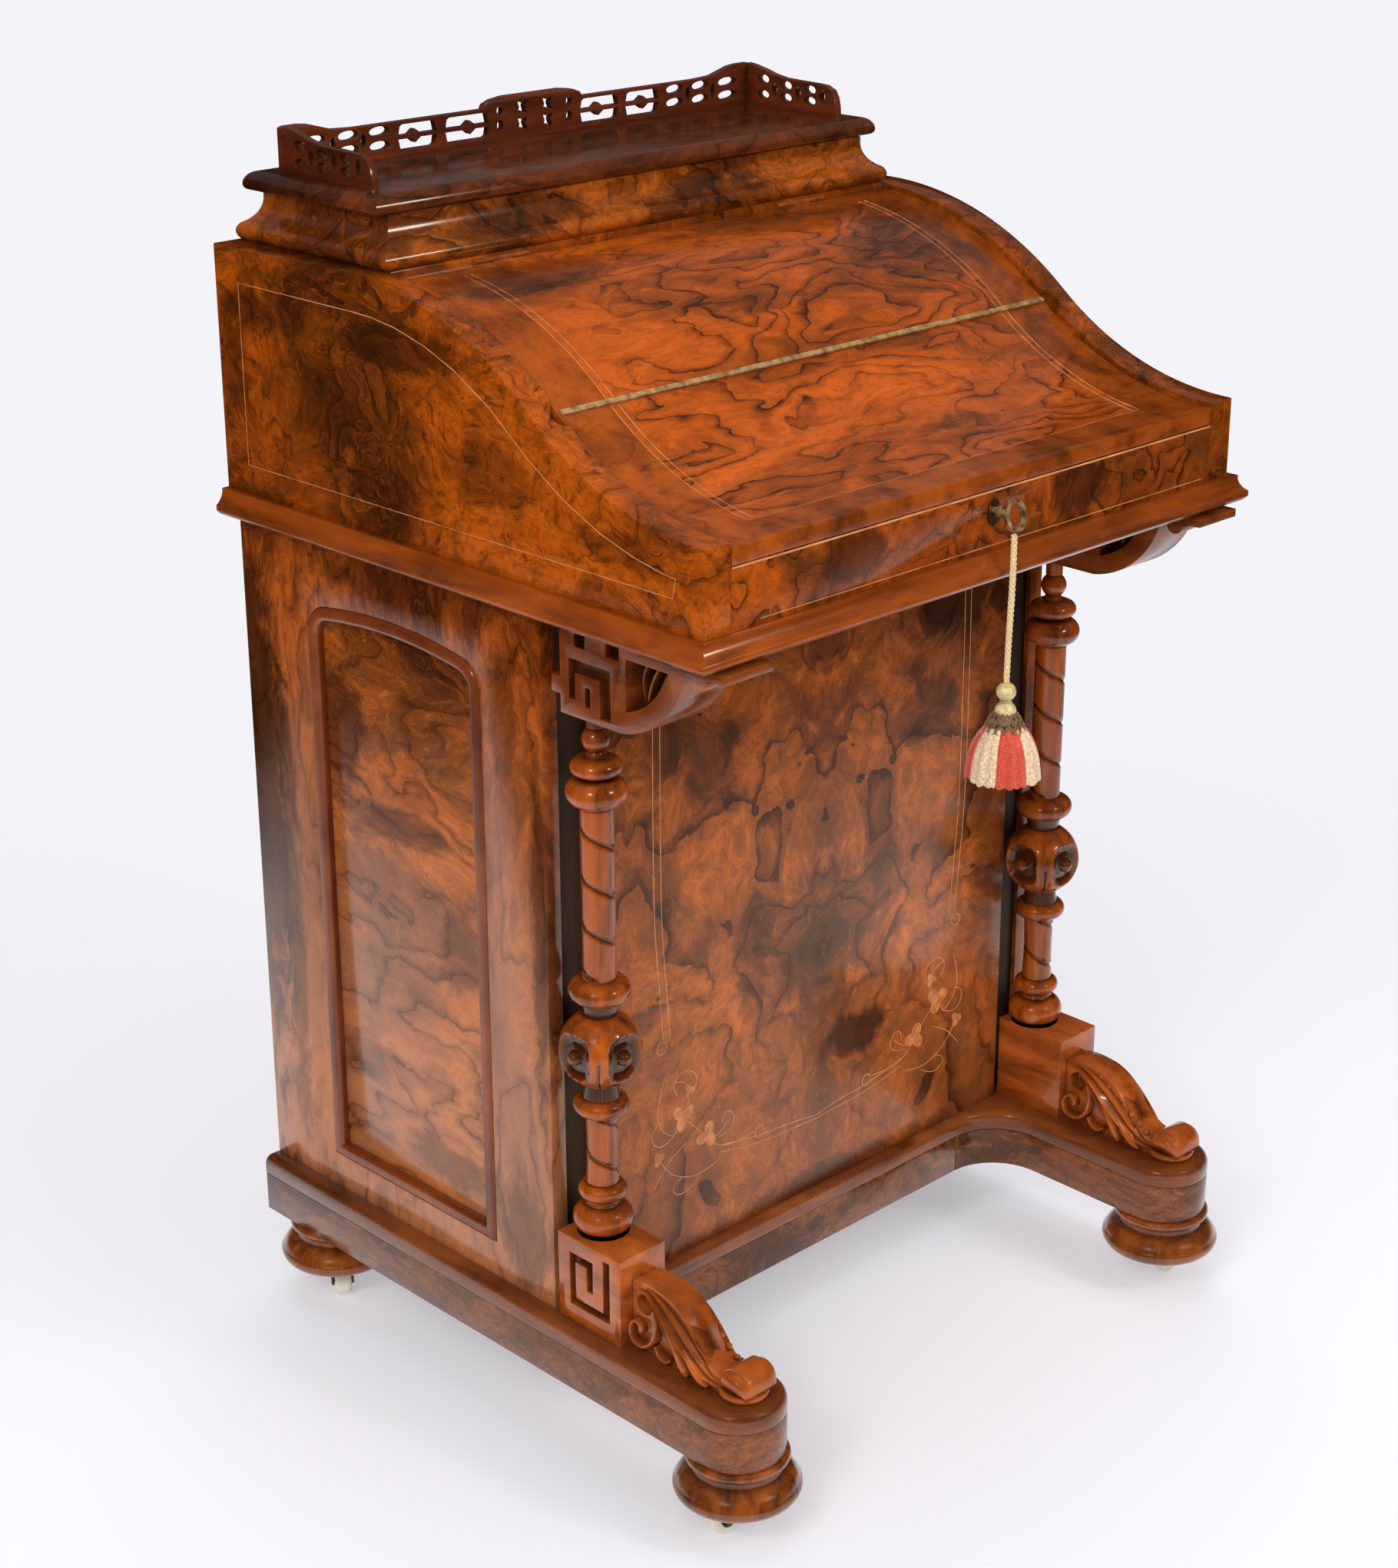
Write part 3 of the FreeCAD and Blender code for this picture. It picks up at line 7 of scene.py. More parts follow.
import logging
import math
from dataclasses import dataclass
from enum import Enum
from typing import Optional, Sequence, Union

import bmesh
import bpy
from mathutils import Matrix, Vector


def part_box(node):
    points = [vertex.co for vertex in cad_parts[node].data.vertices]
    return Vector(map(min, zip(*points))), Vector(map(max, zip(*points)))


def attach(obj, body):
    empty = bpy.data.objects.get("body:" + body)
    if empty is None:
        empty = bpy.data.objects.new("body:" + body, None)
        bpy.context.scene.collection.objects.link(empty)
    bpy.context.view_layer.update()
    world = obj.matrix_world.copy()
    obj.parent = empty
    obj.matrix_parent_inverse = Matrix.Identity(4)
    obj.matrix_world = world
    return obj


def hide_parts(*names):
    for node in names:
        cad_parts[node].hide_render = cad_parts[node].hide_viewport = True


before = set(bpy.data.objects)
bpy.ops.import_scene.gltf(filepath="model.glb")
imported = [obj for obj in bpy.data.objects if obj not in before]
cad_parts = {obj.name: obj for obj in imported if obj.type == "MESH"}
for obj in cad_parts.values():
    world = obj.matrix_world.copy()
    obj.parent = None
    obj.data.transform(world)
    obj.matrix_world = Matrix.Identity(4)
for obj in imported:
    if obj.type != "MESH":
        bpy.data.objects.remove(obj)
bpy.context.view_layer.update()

log = logging.getLogger("davenport")

Point = tuple[float, float, float]
Flat = tuple[float, float]
Station = tuple[float, float, float, float]
Colour = tuple[float, float, float, float]
Piece = bpy.types.Object
Material = bpy.types.Material
Tree = bpy.types.NodeTree
Socket = bpy.types.NodeSocket
Inputs = Union[dict, Sequence]

MM = 0.001
FULL_TURN = 2 * math.pi
MIRROR_X = Matrix.Scale(-1, 4, Vector((1, 0, 0)))
# Name of the vertex values that paint shade into a carver's cuts: how dark each cut is painted
PAINTED_SHADE = "painted_shade"


class Slot(Enum):
    """Names of material slots; no piece in this script takes its finish from them."""

    FIGURED = "figured_walnut"
    SOLID = "solid_walnut"
    LINING = "lining_wood"
    BRASS = "polished_brass"
    KEY = "key_brass"
    CHINA = "white_china"
    CORD = "cream_cord"
    TASSEL = "tassel_silk"


# ---- Colours and shader nodes


def linear(code: str) -> Colour:
    """Turn an sRGB hex colour to linear light.

    Args:
        code: the colour as #RRGGBB.

    Returns:
        Red, green, blue and an alpha of 1.
    """
    parts = [int(code[start : start + 2], 16) / 255 for start in (1, 3, 5)]
    red, green, blue = (p / 12.92 if p <= 0.04045 else ((p + 0.055) / 1.055) ** 2.4 for p in parts)
    return red, green, blue, 1.0


def feed(tree: Tree, node: bpy.types.Node, sockets: Inputs) -> None:
    """Set a node's inputs, each to a value or to the output that feeds it.

    Args:
        tree: the nodes that it stands among.
        node: the node.
        sockets: its inputs in order, or by name or number.
    """
    for key, value in sockets.items() if isinstance(sockets, dict) else enumerate(sockets):
        if isinstance(value, bpy.types.NodeSocket):
            tree.links.new(value, node.inputs[key])
        else:
            node.inputs[key].default_value = value


def add_node(
    tree: Tree, kind: str, sockets: Inputs = (), out: Union[int, str] = 0, **settings: object
) -> Socket:
    """Add a shader node, set it up and feed it.

    Args:
        tree: the material's or world's nodes.
        kind: the node's type name, after "ShaderNode".
        sockets: its inputs in order, or by name or number.
        out: the output that is wanted.
        settings: its properties; stops holds a colour ramp's (place, hex colour) pairs.

    Returns:
        The wanted output.
    """
    made = tree.nodes.new("ShaderNode" + kind)
    stops = settings.pop("stops", ())
    if stops:
        elements = made.color_ramp.elements
        while len(elements) < len(stops):
            elements.new(0.5)
        for element, (place, code) in zip(elements, stops):
            element.position = place
            element.color = linear(code)
    for key, value in settings.items():
        setattr(made, key, value)
    feed(tree, made, sockets)
    return made.outputs[out]


# A Mix node's sockets and settings when it mixes colours
FACTOR, A, B = 0, 6, 7
COLOURS = {"data_type": "RGBA", "out": 2}


def new_material(name: str) -> tuple[Material, Tree, Socket]:
    """Start a material with only a Principled shader and its output.

    Args:
        name: the finish's name.

    Returns:
        The material, its nodes and the piece's own coordinates.
    """
    material = bpy.data.materials.new(name)
    material.use_nodes = True
    tree = material.node_tree
    return material, tree, add_node(tree, "TexCoord", out="Object")


def set_shader(tree: Tree, sockets: Inputs) -> None:
    """Set or feed the Principled shader's inputs."""
    feed(tree, tree.nodes["Principled BSDF"], sockets)


# ---- Finishes


# Shellac is amber: the reflection that comes through it is warm
WARM_POLISH = (1.0, 0.66, 0.42, 1.0)


@dataclass(frozen=True)
class Patch:
    """A dark cloud in the veneer: its centre and its half sizes, in millimetres."""

    centre: Point
    reach: Point
    strength: float = 0.8


@dataclass(frozen=True)
class Border:
    """A darker burr band round a panel, beyond a distance from its middle. Sizes in millimetres."""

    side: float
    front: float
    light: str = "#94450F"
    dark: str = "#4E2006"
    streak: Point = (29.41, 38.46, 38.46)
    strength: float = 0.7

    def over(self, tree: Tree, colour: Socket, where: Socket) -> Socket:
        """Lay the banding over a colour.

        Args:
            tree: the material's nodes.
            colour: the panel's own colour.
            where: the piece's coordinates.

        Returns:
            The colour with its border.
        """
        axes = add_node(tree, "SeparateXYZ", (where,)).node.outputs
        across = add_node(tree, "Math", (axes[0],), operation="ABSOLUTE")
        at_side = add_node(tree, "Math", (across, self.side * MM), operation="GREATER_THAN")
        at_front = add_node(tree, "Math", (axes[1], self.front * MM), operation="LESS_THAN")
        edge = add_node(tree, "Math", (at_side, at_front), operation="MAXIMUM")
        share = add_node(tree, "Math", (edge, self.strength), operation="MULTIPLY")
        scale = tuple(1000 / size for size in self.streak)
        stripes = add_node(tree, "Mapping", {"Vector": where, "Scale": scale})
        grain = add_node(tree, "TexNoise", {"Vector": stripes, "Scale": 1.0, "Detail": 5.0, "Roughness": 0.6})
        banding = add_node(tree, "ValToRGB", (grain,), stops=((0.38, self.dark), (0.6, self.light)))
        return add_node(tree, "Mix", {FACTOR: share, A: colour, B: banding}, **COLOURS)


@dataclass(frozen=True)
class BurrWalnut:
    """Burr walnut veneer under French polish: an orange-brown ground with dark ink lines that
    wander like the contours of a map, each sharp on one side and fading on the other, over a
    fine mottle of burr eyes. Shellac gives it a clear, slightly soft gloss.

    Sizes are in millimetres: figure is the distance between the big swirls, pore the distance
    between the pores, drawn coarser than real ones so that they show, and ripple the length of
    the polish's waves. A painted reflection of the bright floor pales the veneer from
    reflection_top down to reflection_low.
    """

    name: str
    light: str = "#BE5A12"
    ground: str = "#A04806"
    brown: str = "#6E2F06"
    ink: str = "#2B1205"
    reflected_floor: str = "#D08D60"
    figure: float = 190.0
    darkness: float = 0.45
    bands: float = 5.0
    line_width: float = 0.17
    ink_strength: float = 1.0
    shade_strength: float = 0.66
    mottle: float = 0.55
    wisps: float = 0.25
    stretch: Point = (1.0, 1.0, 1.0)
    place: Point = (0.0, 0.0, 0.0)
    folded_at: Optional[float] = None
    patches: tuple[Patch, ...] = ()
    border: Optional[Border] = None
    floor_reflection: float = 0.0
    reflection_top: float = 600.0
    reflection_low: float = 200.0
    roughness: float = 0.2
    coat: float = 0.45
    coat_roughness: float = 0.1
    pore: float = 1.111
    ripple: float = 71.43
    tear: float = 23.81

    def make(self) -> Material:
        """Build the veneer's material.

        Returns:
            The material.
        """
        material, tree, where = new_material(self.name)
        laid = self._laid(tree, where)
        warped = self._warped(tree, laid)
        colour = self._ground(tree, warped)
        # Painted reflection: towards the bottom the veneer grows paler and pinker, as if it mirrored the
        # bright floor
        height = add_node(tree, "SeparateXYZ", (where,), 2)
        reflection_band = (self.reflection_top * MM, self.reflection_low * MM, 0.0, self.floor_reflection)
        reflection_share = add_node(tree, "MapRange", (height, *reflection_band))
        colour = add_node(tree, "Mix", {FACTOR: reflection_share, A: colour, B: linear(self.reflected_floor)}, **COLOURS)
        colour = self._lines(tree, colour, laid, warped)
        colour = self._patches(tree, colour, where, warped)
        if self.border:
            colour = self.border.over(tree, colour, where)
        pores = {"Vector": laid, "Scale": 1000 / self.pore, "Detail": 3.0, "Roughness": 0.6}
        flecks = add_node(tree, "MapRange", (add_node(tree, "TexNoise", pores), 0.62, 0.72, 0.0, 0.45))
        colour = add_node(tree, "Mix", {FACTOR: flecks, A: colour, B: linear(self.ink)}, **COLOURS)
        uneven = add_node(tree, "TexNoise", {"Vector": where, "Scale": 1000 / self.ripple, "Detail": 3.0})
        dull = (self.roughness - 0.05, self.roughness + 0.06)
        waves = {"Strength": 0.06, "Distance": 1.0 * MM, "Height": uneven}
        set_shader(tree, {
            "Base Color": colour,
            "Roughness": add_node(tree, "MapRange", (uneven, 0.3, 0.7, *dull)),
            "Specular Tint": WARM_POLISH,
            "Coat Weight": self.coat,
            "Coat Roughness": self.coat_roughness,
            "Normal": add_node(tree, "Bump", waves),
        })
        return material

    def _laid(self, tree: Tree, where: Socket) -> Socket:
        """Place and stretch the figure, folded about its middle if it is book-matched.

        Args:
            tree: the material's nodes.
            where: the piece's coordinates.

        Returns:
            The figure's coordinates.
        """
        if self.folded_at is not None:
            axes = add_node(tree, "SeparateXYZ", (where,)).node.outputs
            from_fold = add_node(tree, "Math", (axes[0], self.folded_at * MM), operation="SUBTRACT")
            folded = add_node(tree, "Math", (from_fold,), operation="ABSOLUTE")
            where = add_node(tree, "CombineXYZ", (folded, axes[1], axes[2]))
        place = tuple(value * MM for value in self.place)
        return add_node(tree, "Mapping", {"Vector": where, "Location": place, "Scale": self.stretch})

    def _warped(self, tree: Tree, laid: Socket) -> Socket:
        """Push the figure's coordinates about in three sizes of wave, so that its lines wander.

        Args:
            tree: the material's nodes.
            laid: the figure's coordinates.

        Returns:
            The pushed coordinates.
        """
        warped = laid
        for multiple, push in ((1.6, 0.15), (5.0, 0.05), (16.0, 0.014)):
            scale = 1000 / self.figure * multiple
            waves = {"Vector": warped, "Scale": scale, "Detail": 3.0, "Roughness": 0.5}
            noise = add_node(tree, "TexNoise", waves, 1)
            centred = add_node(tree, "VectorMath", (noise, (0.5, 0.5, 0.5)), operation="SUBTRACT")
            reach = {0: centred, "Scale": push * self.figure * MM * 3}
            pushed = add_node(tree, "VectorMath", reach, operation="SCALE")
            warped = add_node(tree, "VectorMath", (warped, pushed), operation="ADD")
        return warped

    def _ground(self, tree: Tree, warped: Socket) -> Socket:
        """Colour the ground: broad clouds, a burr mottle in two sizes, and torn dark wisps.

        Args:
            tree: the material's nodes.
            warped: the pushed coordinates.

        Returns:
            The ground's colour.
        """
        scale = 1000 / self.figure
        broad = {"Vector": warped, "Scale": scale * 0.9, "Detail": 6.0, "Roughness": 0.66, "Distortion": 0.5}
        stops = (
            (self.darkness - 0.10, self.ink),
            (self.darkness, self.brown),
            (self.darkness + 0.07, self.ground),
            (self.darkness + 0.26, self.light),
        )
        base = add_node(tree, "ValToRGB", (add_node(tree, "TexNoise", broad),), stops=stops)
        mottles = ((9.0, 0.72, 0.8, self.mottle), (34.0, 0.8, 0.4, self.mottle * 0.95))
        for multiple, harsh, twist, strength in mottles:
            fine = {"Vector": warped, "Scale": scale * multiple, "Detail": 5.0}
            burr = add_node(tree, "TexNoise", {**fine, "Roughness": harsh, "Distortion": twist})
            for start, end, shade in ((0.52, 0.34, self.brown), (0.54, 0.74, self.light)):
                share = add_node(tree, "MapRange", (burr, start, end, 0.0, strength))
                base = add_node(tree, "Mix", {FACTOR: share, A: base, B: linear(shade)}, **COLOURS)
        ragged = {"Vector": warped, "Scale": scale * 11, "Detail": 8.0, "Roughness": 0.74, "Distortion": 1.4}
        torn = add_node(tree, "TexNoise", ragged)
        wisp = add_node(tree, "MapRange", (torn, 0.48, 0.36, 0.0, self.wisps))
        return add_node(tree, "Mix", {FACTOR: wisp, A: base, B: linear(self.ink)}, **COLOURS)

    def _lines(self, tree: Tree, colour: Socket, laid: Socket, warped: Socket) -> Socket:
        """Draw ink lines where the figure's height passes each contour, with shade on one side.

        Args:
            tree: the material's nodes.
            colour: the ground's colour.
            laid: the figure's coordinates.
            warped: the pushed coordinates.

        Returns:
            The colour with its lines.
        """
        scale = 1000 / self.figure
        hills = {"Vector": warped, "Scale": scale, "Detail": 3.0, "Roughness": 0.5}
        height = add_node(tree, "TexNoise", hills)
        steps = add_node(tree, "Math", (height, self.bands * 3), operation="MULTIPLY")
        rise = add_node(tree, "Math", (steps,), operation="FRACT")
        calm = add_node(tree, "TexNoise", {"Vector": laid, "Scale": scale * 1.3, "Detail": 3.0})
        gate = add_node(tree, "MapRange", (calm, 0.36, 0.54, 0.2, 1.0))
        rough = {"Vector": warped, "Scale": scale * 12, "Detail": 5.0, "Roughness": 0.7}
        broken = add_node(tree, "MapRange", (add_node(tree, "TexNoise", rough), 0.34, 0.60, 0.5, 1.0))
        kept = add_node(tree, "Math", (gate, broken), operation="MULTIPLY")
        strokes = (
            (0.72, 1.0, 0.0, 0.55, self.brown),
            (0.0, 0.5, self.shade_strength, 0.0, self.ink),
            (0.0, self.line_width, self.ink_strength, 0.0, self.ink),
        )
        for start, end, low, high, shade in strokes:
            drawn_in = add_node(tree, "MapRange", (rise, start, end, low, high))
            share = add_node(tree, "Math", (drawn_in, kept), operation="MULTIPLY")
            colour = add_node(tree, "Mix", {FACTOR: share, A: colour, B: linear(shade)}, **COLOURS)
        return colour

    def _patches(self, tree: Tree, colour: Socket, where: Socket, warped: Socket) -> Socket:
        """Lay the dark clouds, with torn edges.

        Args:
            tree: the material's nodes.
            colour: the colour under them.
            where: the piece's coordinates.
            warped: the pushed coordinates.

        Returns:
            The colour with its clouds.
        """
        if not self.patches:
            return colour
        tears = {"Vector": warped, "Scale": 1000 / self.tear, "Detail": 8.0, "Roughness": 0.7}
        ragged = add_node(tree, "TexNoise", tears)
        for patch in self.patches:
            scale = tuple(1 / (reach * MM) for reach in patch.reach)
            shift = tuple(-centre / reach for centre, reach in zip(patch.centre, patch.reach))
            local = add_node(tree, "Mapping", {"Vector": where, "Location": shift, "Scale": scale})
            far = add_node(tree, "VectorMath", (local,), 1, operation="LENGTH")
            tear = add_node(tree, "Math", (ragged, 1.6), operation="MULTIPLY")
            torn = add_node(tree, "Math", (far, tear), operation="ADD")
            inside = add_node(tree, "MapRange", (torn, 1.7, 1.32, 0.0, patch.strength))
            colour = add_node(tree, "Mix", {FACTOR: inside, A: colour, B: linear(self.ink)}, **COLOURS)
        return colour


@dataclass(frozen=True)
class PolishedWalnut:
    """Solid walnut, turned or carved, stained and French polished: streaks along the grain,
    darkened with painted shade in its creases, cuts and recesses, and a wet gloss on the rounds.

    Sizes are in millimetres: streak is how far a streak runs along each axis, cloud the size of
    the darker clouds, and occlusion_reach how near a wall the painted shade reaches.
    """

    name: str
    light: str = "#B4541A"
    dark: str = "#602808"
    hollow: str = "#2A1105"
    streak: Point = (16.67, 16.67, 166.7)
    cloud: float = 62.5
    occlusion_reach: float = 12.0
    occlusion_darkness: float = 0.85
    roughness: float = 0.2
    coat: float = 0.5
    coat_roughness: float = 0.06

    def make(self) -> Material:
        """Build the wood's material.

        Returns:
            The material.
        """
        material, tree, where = new_material(self.name)
        scale = tuple(1000 / size for size in self.streak)
        along = {"Vector": add_node(tree, "Mapping", {"Vector": where, "Scale": scale}), "Scale": 1.0}
        grain = add_node(tree, "TexNoise", {**along, "Detail": 6.0, "Roughness": 0.62, "Distortion": 0.4})
        colour = add_node(tree, "ValToRGB", (grain,), stops=((0.34, self.dark), (0.66, self.light)))
        clouds = add_node(tree, "TexNoise", {"Vector": where, "Scale": 1000 / self.cloud, "Detail": 3.0})
        share = add_node(tree, "MapRange", (clouds, 0.55, 0.35, 0.0, 0.35))
        colour = add_node(tree, "Mix", {FACTOR: share, A: colour, B: linear(self.dark)}, **COLOURS)
        # Painted shade: creases, the carved cuts and the walls of recesses are darkened towards the hollow
        # colour
        edge = add_node(tree, "NewGeometry", out="Pointiness")
        shade_share = add_node(tree, "MapRange", (edge, 0.485, 0.43, 0.0, 0.92))
        cut = add_node(tree, "Attribute", out="Fac", attribute_name=PAINTED_SHADE)
        shade_share = add_node(tree, "Math", (shade_share, cut), operation="MAXIMUM")
        # Painted shade from ambient occlusion: darker where nearby walls would block the light
        reach = {"Distance": self.occlusion_reach * MM}
        open_air = add_node(tree, "AmbientOcclusion", reach, "AO", samples=4, only_local=True)
        occlusion_shade = add_node(tree, "MapRange", (open_air, 0.82, 0.38, 0.0, self.occlusion_darkness))
        shade_share = add_node(tree, "Math", (shade_share, occlusion_shade), operation="MAXIMUM")
        colour = add_node(tree, "Mix", {FACTOR: shade_share, A: colour, B: linear(self.hollow)}, **COLOURS)
        set_shader(tree, {
            "Base Color": colour,
            "Roughness": self.roughness,
            "Specular Tint": WARM_POLISH,
            "Coat Weight": self.coat,
            "Coat Roughness": self.coat_roughness,
            "Normal": add_node(tree, "Bump", {"Strength": 0.08, "Distance": 0.6 * MM, "Height": grain}),
        })
        return material


@dataclass(frozen=True)
class PlanedWood:
    """Unpolished lining timber: dull, straight grained and a little dusty. The streak is how far
    the grain runs along each axis, in millimetres."""

    name: str
    light: str = "#B58655"
    dark: str = "#7A5230"
    streak: Point = (125.0, 8.333, 8.333)

    def make(self) -> Material:
        """Build the timber's material.

        Returns:
            The material.
        """
        material, tree, where = new_material(self.name)
        scale = tuple(1000 / size for size in self.streak)
        place = add_node(tree, "Mapping", {"Vector": where, "Scale": scale})
        grain = add_node(tree, "TexNoise", {"Vector": place, "Scale": 1.0, "Detail": 5.0, "Roughness": 0.6})
        set_shader(tree, {
            "Base Color": add_node(tree, "ValToRGB", (grain,), stops=((0.35, self.dark), (0.65, self.light))),
            "Roughness": 0.7,
            "Normal": add_node(tree, "Bump", {"Strength": 0.2, "Distance": 0.5 * MM, "Height": grain}),
        })
        return material


@dataclass(frozen=True)
class OldMetal:
    """Brass or iron that has been handled: bright on the rounds, tarnished in cloudy patches.
    The bare share is metal, and the rest is under a dull film that scatters the light. The
    patches' size is in millimetres."""

    name: str
    bright: str
    dull: str
    roughness: float = 0.3
    bare: float = 1.0
    cloud: float = 8.333

    def make(self) -> Material:
        """Build the metal's material.

        Returns:
            The material.
        """
        material, tree, where = new_material(self.name)
        patches = {"Vector": where, "Scale": 1000 / self.cloud, "Detail": 5.0, "Roughness": 0.6}
        stains = add_node(tree, "TexNoise", patches)
        tarnish = add_node(tree, "MapRange", (stains, 0.42, 0.62))
        shades = {A: linear(self.bright), B: linear(self.dull)}
        rough = (self.roughness - 0.06, self.roughness + 0.15)
        set_shader(tree, {
            "Base Color": add_node(tree, "Mix", {FACTOR: tarnish, **shades}, **COLOURS),
            "Roughness": add_node(tree, "MapRange", (stains, 0.35, 0.65, *rough)),
            "Metallic": self.bare,
        })
        return material


@dataclass(frozen=True)
class PlainFinish:
    """A finish of two close shades that drift into each other: china, silk or boxwood. The
    grain is the distance over which they do, in millimetres."""

    name: str
    light: str
    dark: str
    roughness: float
    coat: float = 0.0
    sheen: float = 0.0
    grain: float = 3.333

    def make(self) -> Material:
        """Build the finish's material.

        Returns:
            The material.
        """
        material, tree, where = new_material(self.name)
        noise = add_node(tree, "TexNoise", {"Vector": where, "Scale": 1000 / self.grain, "Detail": 3.0})
        drift = add_node(tree, "MapRange", (noise, 0.35, 0.65))
        shades = {A: linear(self.light), B: linear(self.dark)}
        set_shader(tree, {
            "Base Color": add_node(tree, "Mix", {FACTOR: drift, **shades}, **COLOURS),
            "Roughness": self.roughness,
            "Coat Weight": self.coat,
            "Sheen Weight": self.sheen,
            "Normal": add_node(tree, "Bump", {"Strength": 0.1, "Distance": 0.3 * MM, "Height": noise}),
        })
        return material


# ---- The workbench


def only(*pieces: Piece) -> None:
    """Select some pieces alone, the first of them active; with none, nothing is selected.

    Args:
        pieces: the pieces.
    """
    bpy.ops.object.select_all(action="DESELECT")
    for piece in pieces:
        piece.select_set(True)
    if pieces:
        bpy.context.view_layer.objects.active = pieces[0]


def linked(name: str, data: bpy.types.ID) -> Piece:
    """Make an object of some data and put it in the scene.

    Args:
        name: the object's name.
        data: its mesh, curve, camera or lamp.

    Returns:
        The object.
    """
    made = bpy.data.objects.new(name, data)
    bpy.context.scene.collection.objects.link(made)
    return made


def smooth(piece: Piece, degrees: float = 35.0) -> None:
    """Shade a piece smooth, with edges sharper than an angle in degrees left crisp."""
    only(piece)
    bpy.ops.object.shade_smooth_by_angle(angle=math.radians(degrees))


def settle(piece: Piece) -> None:
    """Put a piece's place, turn and size into its mesh."""
    only(piece)
    bpy.ops.object.transform_apply(location=True, rotation=True, scale=True)


def merge_points(piece: Piece, outward: bool = False, flat: float = 0.0) -> None:
    """Merge a piece's doubled points.

    Args:
        piece: the piece.
        outward: whether its faces are then turned outwards.
        flat: faces that meet at less than this angle in degrees become one, unless it is 0.
    """
    only(piece)
    bpy.ops.object.mode_set(mode="EDIT")
    bpy.ops.mesh.select_all(action="SELECT")
    bpy.ops.mesh.remove_doubles(threshold=0.01 * MM)
    if outward:
        bpy.ops.mesh.normals_make_consistent(inside=False)
    if flat:
        bpy.ops.mesh.dissolve_limited(angle_limit=math.radians(flat))
    bpy.ops.object.mode_set(mode="OBJECT")


def dress(piece: Piece, *materials: Material) -> None:
    """Give a piece these materials and no others.

    Args:
        piece: the piece.
        materials: its finishes, one for each slot.
    """
    piece.data.materials.clear()
    for material in materials:
        piece.data.materials.append(material)


def hand_over(
    piece: Piece, body: str, material: Optional[Material] = None, stands_for: Sequence[str] = ()
) -> Piece:
    """Dress a finished piece, hide the CAD nodes that it stands for, let it ride on its body and log it.

    Args:
        piece: the piece.
        body: the body that it moves with.
        material: its finish, or None to keep what it has.
        stands_for: the CAD nodes that it replaces.

    Returns:
        The piece.
    """
    if material:
        dress(piece, material)
    if stands_for:
        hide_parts(*stands_for)
    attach(piece, body)
    log.info("%-26s rides on %-18s %7d faces", piece.name, body, len(piece.data.polygons))
    return piece


def copied(piece: Piece, name: str, matrix: Matrix) -> Piece:
    """Copy a piece with its own mesh, moved by a matrix that may mirror it.

    Args:
        piece: the piece to copy.
        name: the copy's name.
        matrix: where the copy goes.

    Returns:
        The copy.
    """
    twin = piece.copy()
    twin.data = piece.data.copy()
    twin.name = name
    twin.parent = None
    bpy.context.scene.collection.objects.link(twin)
    twin.data.transform(matrix)
    if matrix.determinant() < 0:
        twin.data.flip_normals()
    for key in list(twin.keys()):
        del twin[key]
    return twin


def softened(node: str, name: str, width: float = 0.8, segments: int = 2) -> Piece:
    """Copy a CAD node with its sharp edges eased.

    Args:
        node: the CAD node.
        name: the new piece's name.
        width: the easing's width in millimetres.
        segments: the faces across each easing.

    Returns:
        The eased copy.
    """
    piece = copied(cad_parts[node], name, Matrix.Identity(4))
    only(piece)
    bpy.ops.mesh.customdata_custom_splitnormals_clear()
    merge_points(piece, flat=0.5)
    easing = piece.modifiers.new("easing", "BEVEL")
    easing.width = width * MM
    easing.segments = segments
    easing.limit_method = "ANGLE"
    easing.angle_limit = math.radians(30.0)
    easing.use_clamp_overlap = True
    bpy.ops.object.modifier_apply(modifier=easing.name)
    smooth(piece, 40.0)
    return piece


def refinished(
    node: str, body: str, finish: Material, width: float = 0.8, name: str = "", segments: int = 2
) -> Piece:
    """Put an eased and polished copy in a CAD node's place.

    Args:
        node: the CAD node.
        body: the body that it moves with.
        finish: the copy's material.
        width: the easing's width in millimetres.
        name: the copy's name, or nothing for the node's own with "_eased".
        segments: the faces across each easing.

    Returns:
        The copy.
    """
    piece = softened(node, name or node + "_eased", width, segments)
    return hand_over(piece, body, finish, [node])


def turned(name: str, profile: Sequence[Flat], centre: Flat = (0.0, 0.0), steps: int = 64) -> Piece:
    """Turn a piece on the lathe: a disc is drawn up ring by ring.

    Args:
        name: the piece's name.
        profile: (radius, height) of each ring in millimetres, from one end to the other.
        centre: where its axis stands.
        steps: the corners of each ring.

    Returns:
        The turned piece.
    """
    only()
    radius, height = profile[0]
    spot = (centre[0] * MM, centre[1] * MM)
    start = (*spot, height * MM)
    bpy.ops.mesh.primitive_circle_add(vertices=steps, radius=radius * MM, fill_type="NGON", location=start)
    piece = bpy.context.active_object
    piece.name = name
    settle(piece)
    bpy.ops.object.mode_set(mode="EDIT")
    for next_radius, next_height in profile[1:]:
        lift = (next_height - height) * MM
        bpy.ops.mesh.extrude_region_move(TRANSFORM_OT_translate={"value": (0, 0, lift)})
        grow = next_radius / radius
        bpy.ops.transform.resize(value=(grow, grow, 1), center_override=(*spot, next_height * MM))
        radius, height = next_radius, next_height
    bpy.ops.object.mode_set(mode="OBJECT")
    merge_points(piece, outward=True)
    smooth(piece, 38.0)
    return piece


def bead(low: float, high: float, out: float, steps: int = 10) -> list[Flat]:
    """The rounded ring of a turned profile.

    Args:
        low: its lower edge.
        high: its upper edge.
        out: its largest radius.
        steps: the number of runs.

    Returns:
        Its points from the lower to the upper edge.
    """
    half = (high - low) / 2
    middle = (high + low) / 2
    turns = [math.pi * (step / steps - 0.5) for step in range(steps + 1)]
    return [(out - half + half * math.cos(turn), middle + half * math.sin(turn)) for turn in turns]


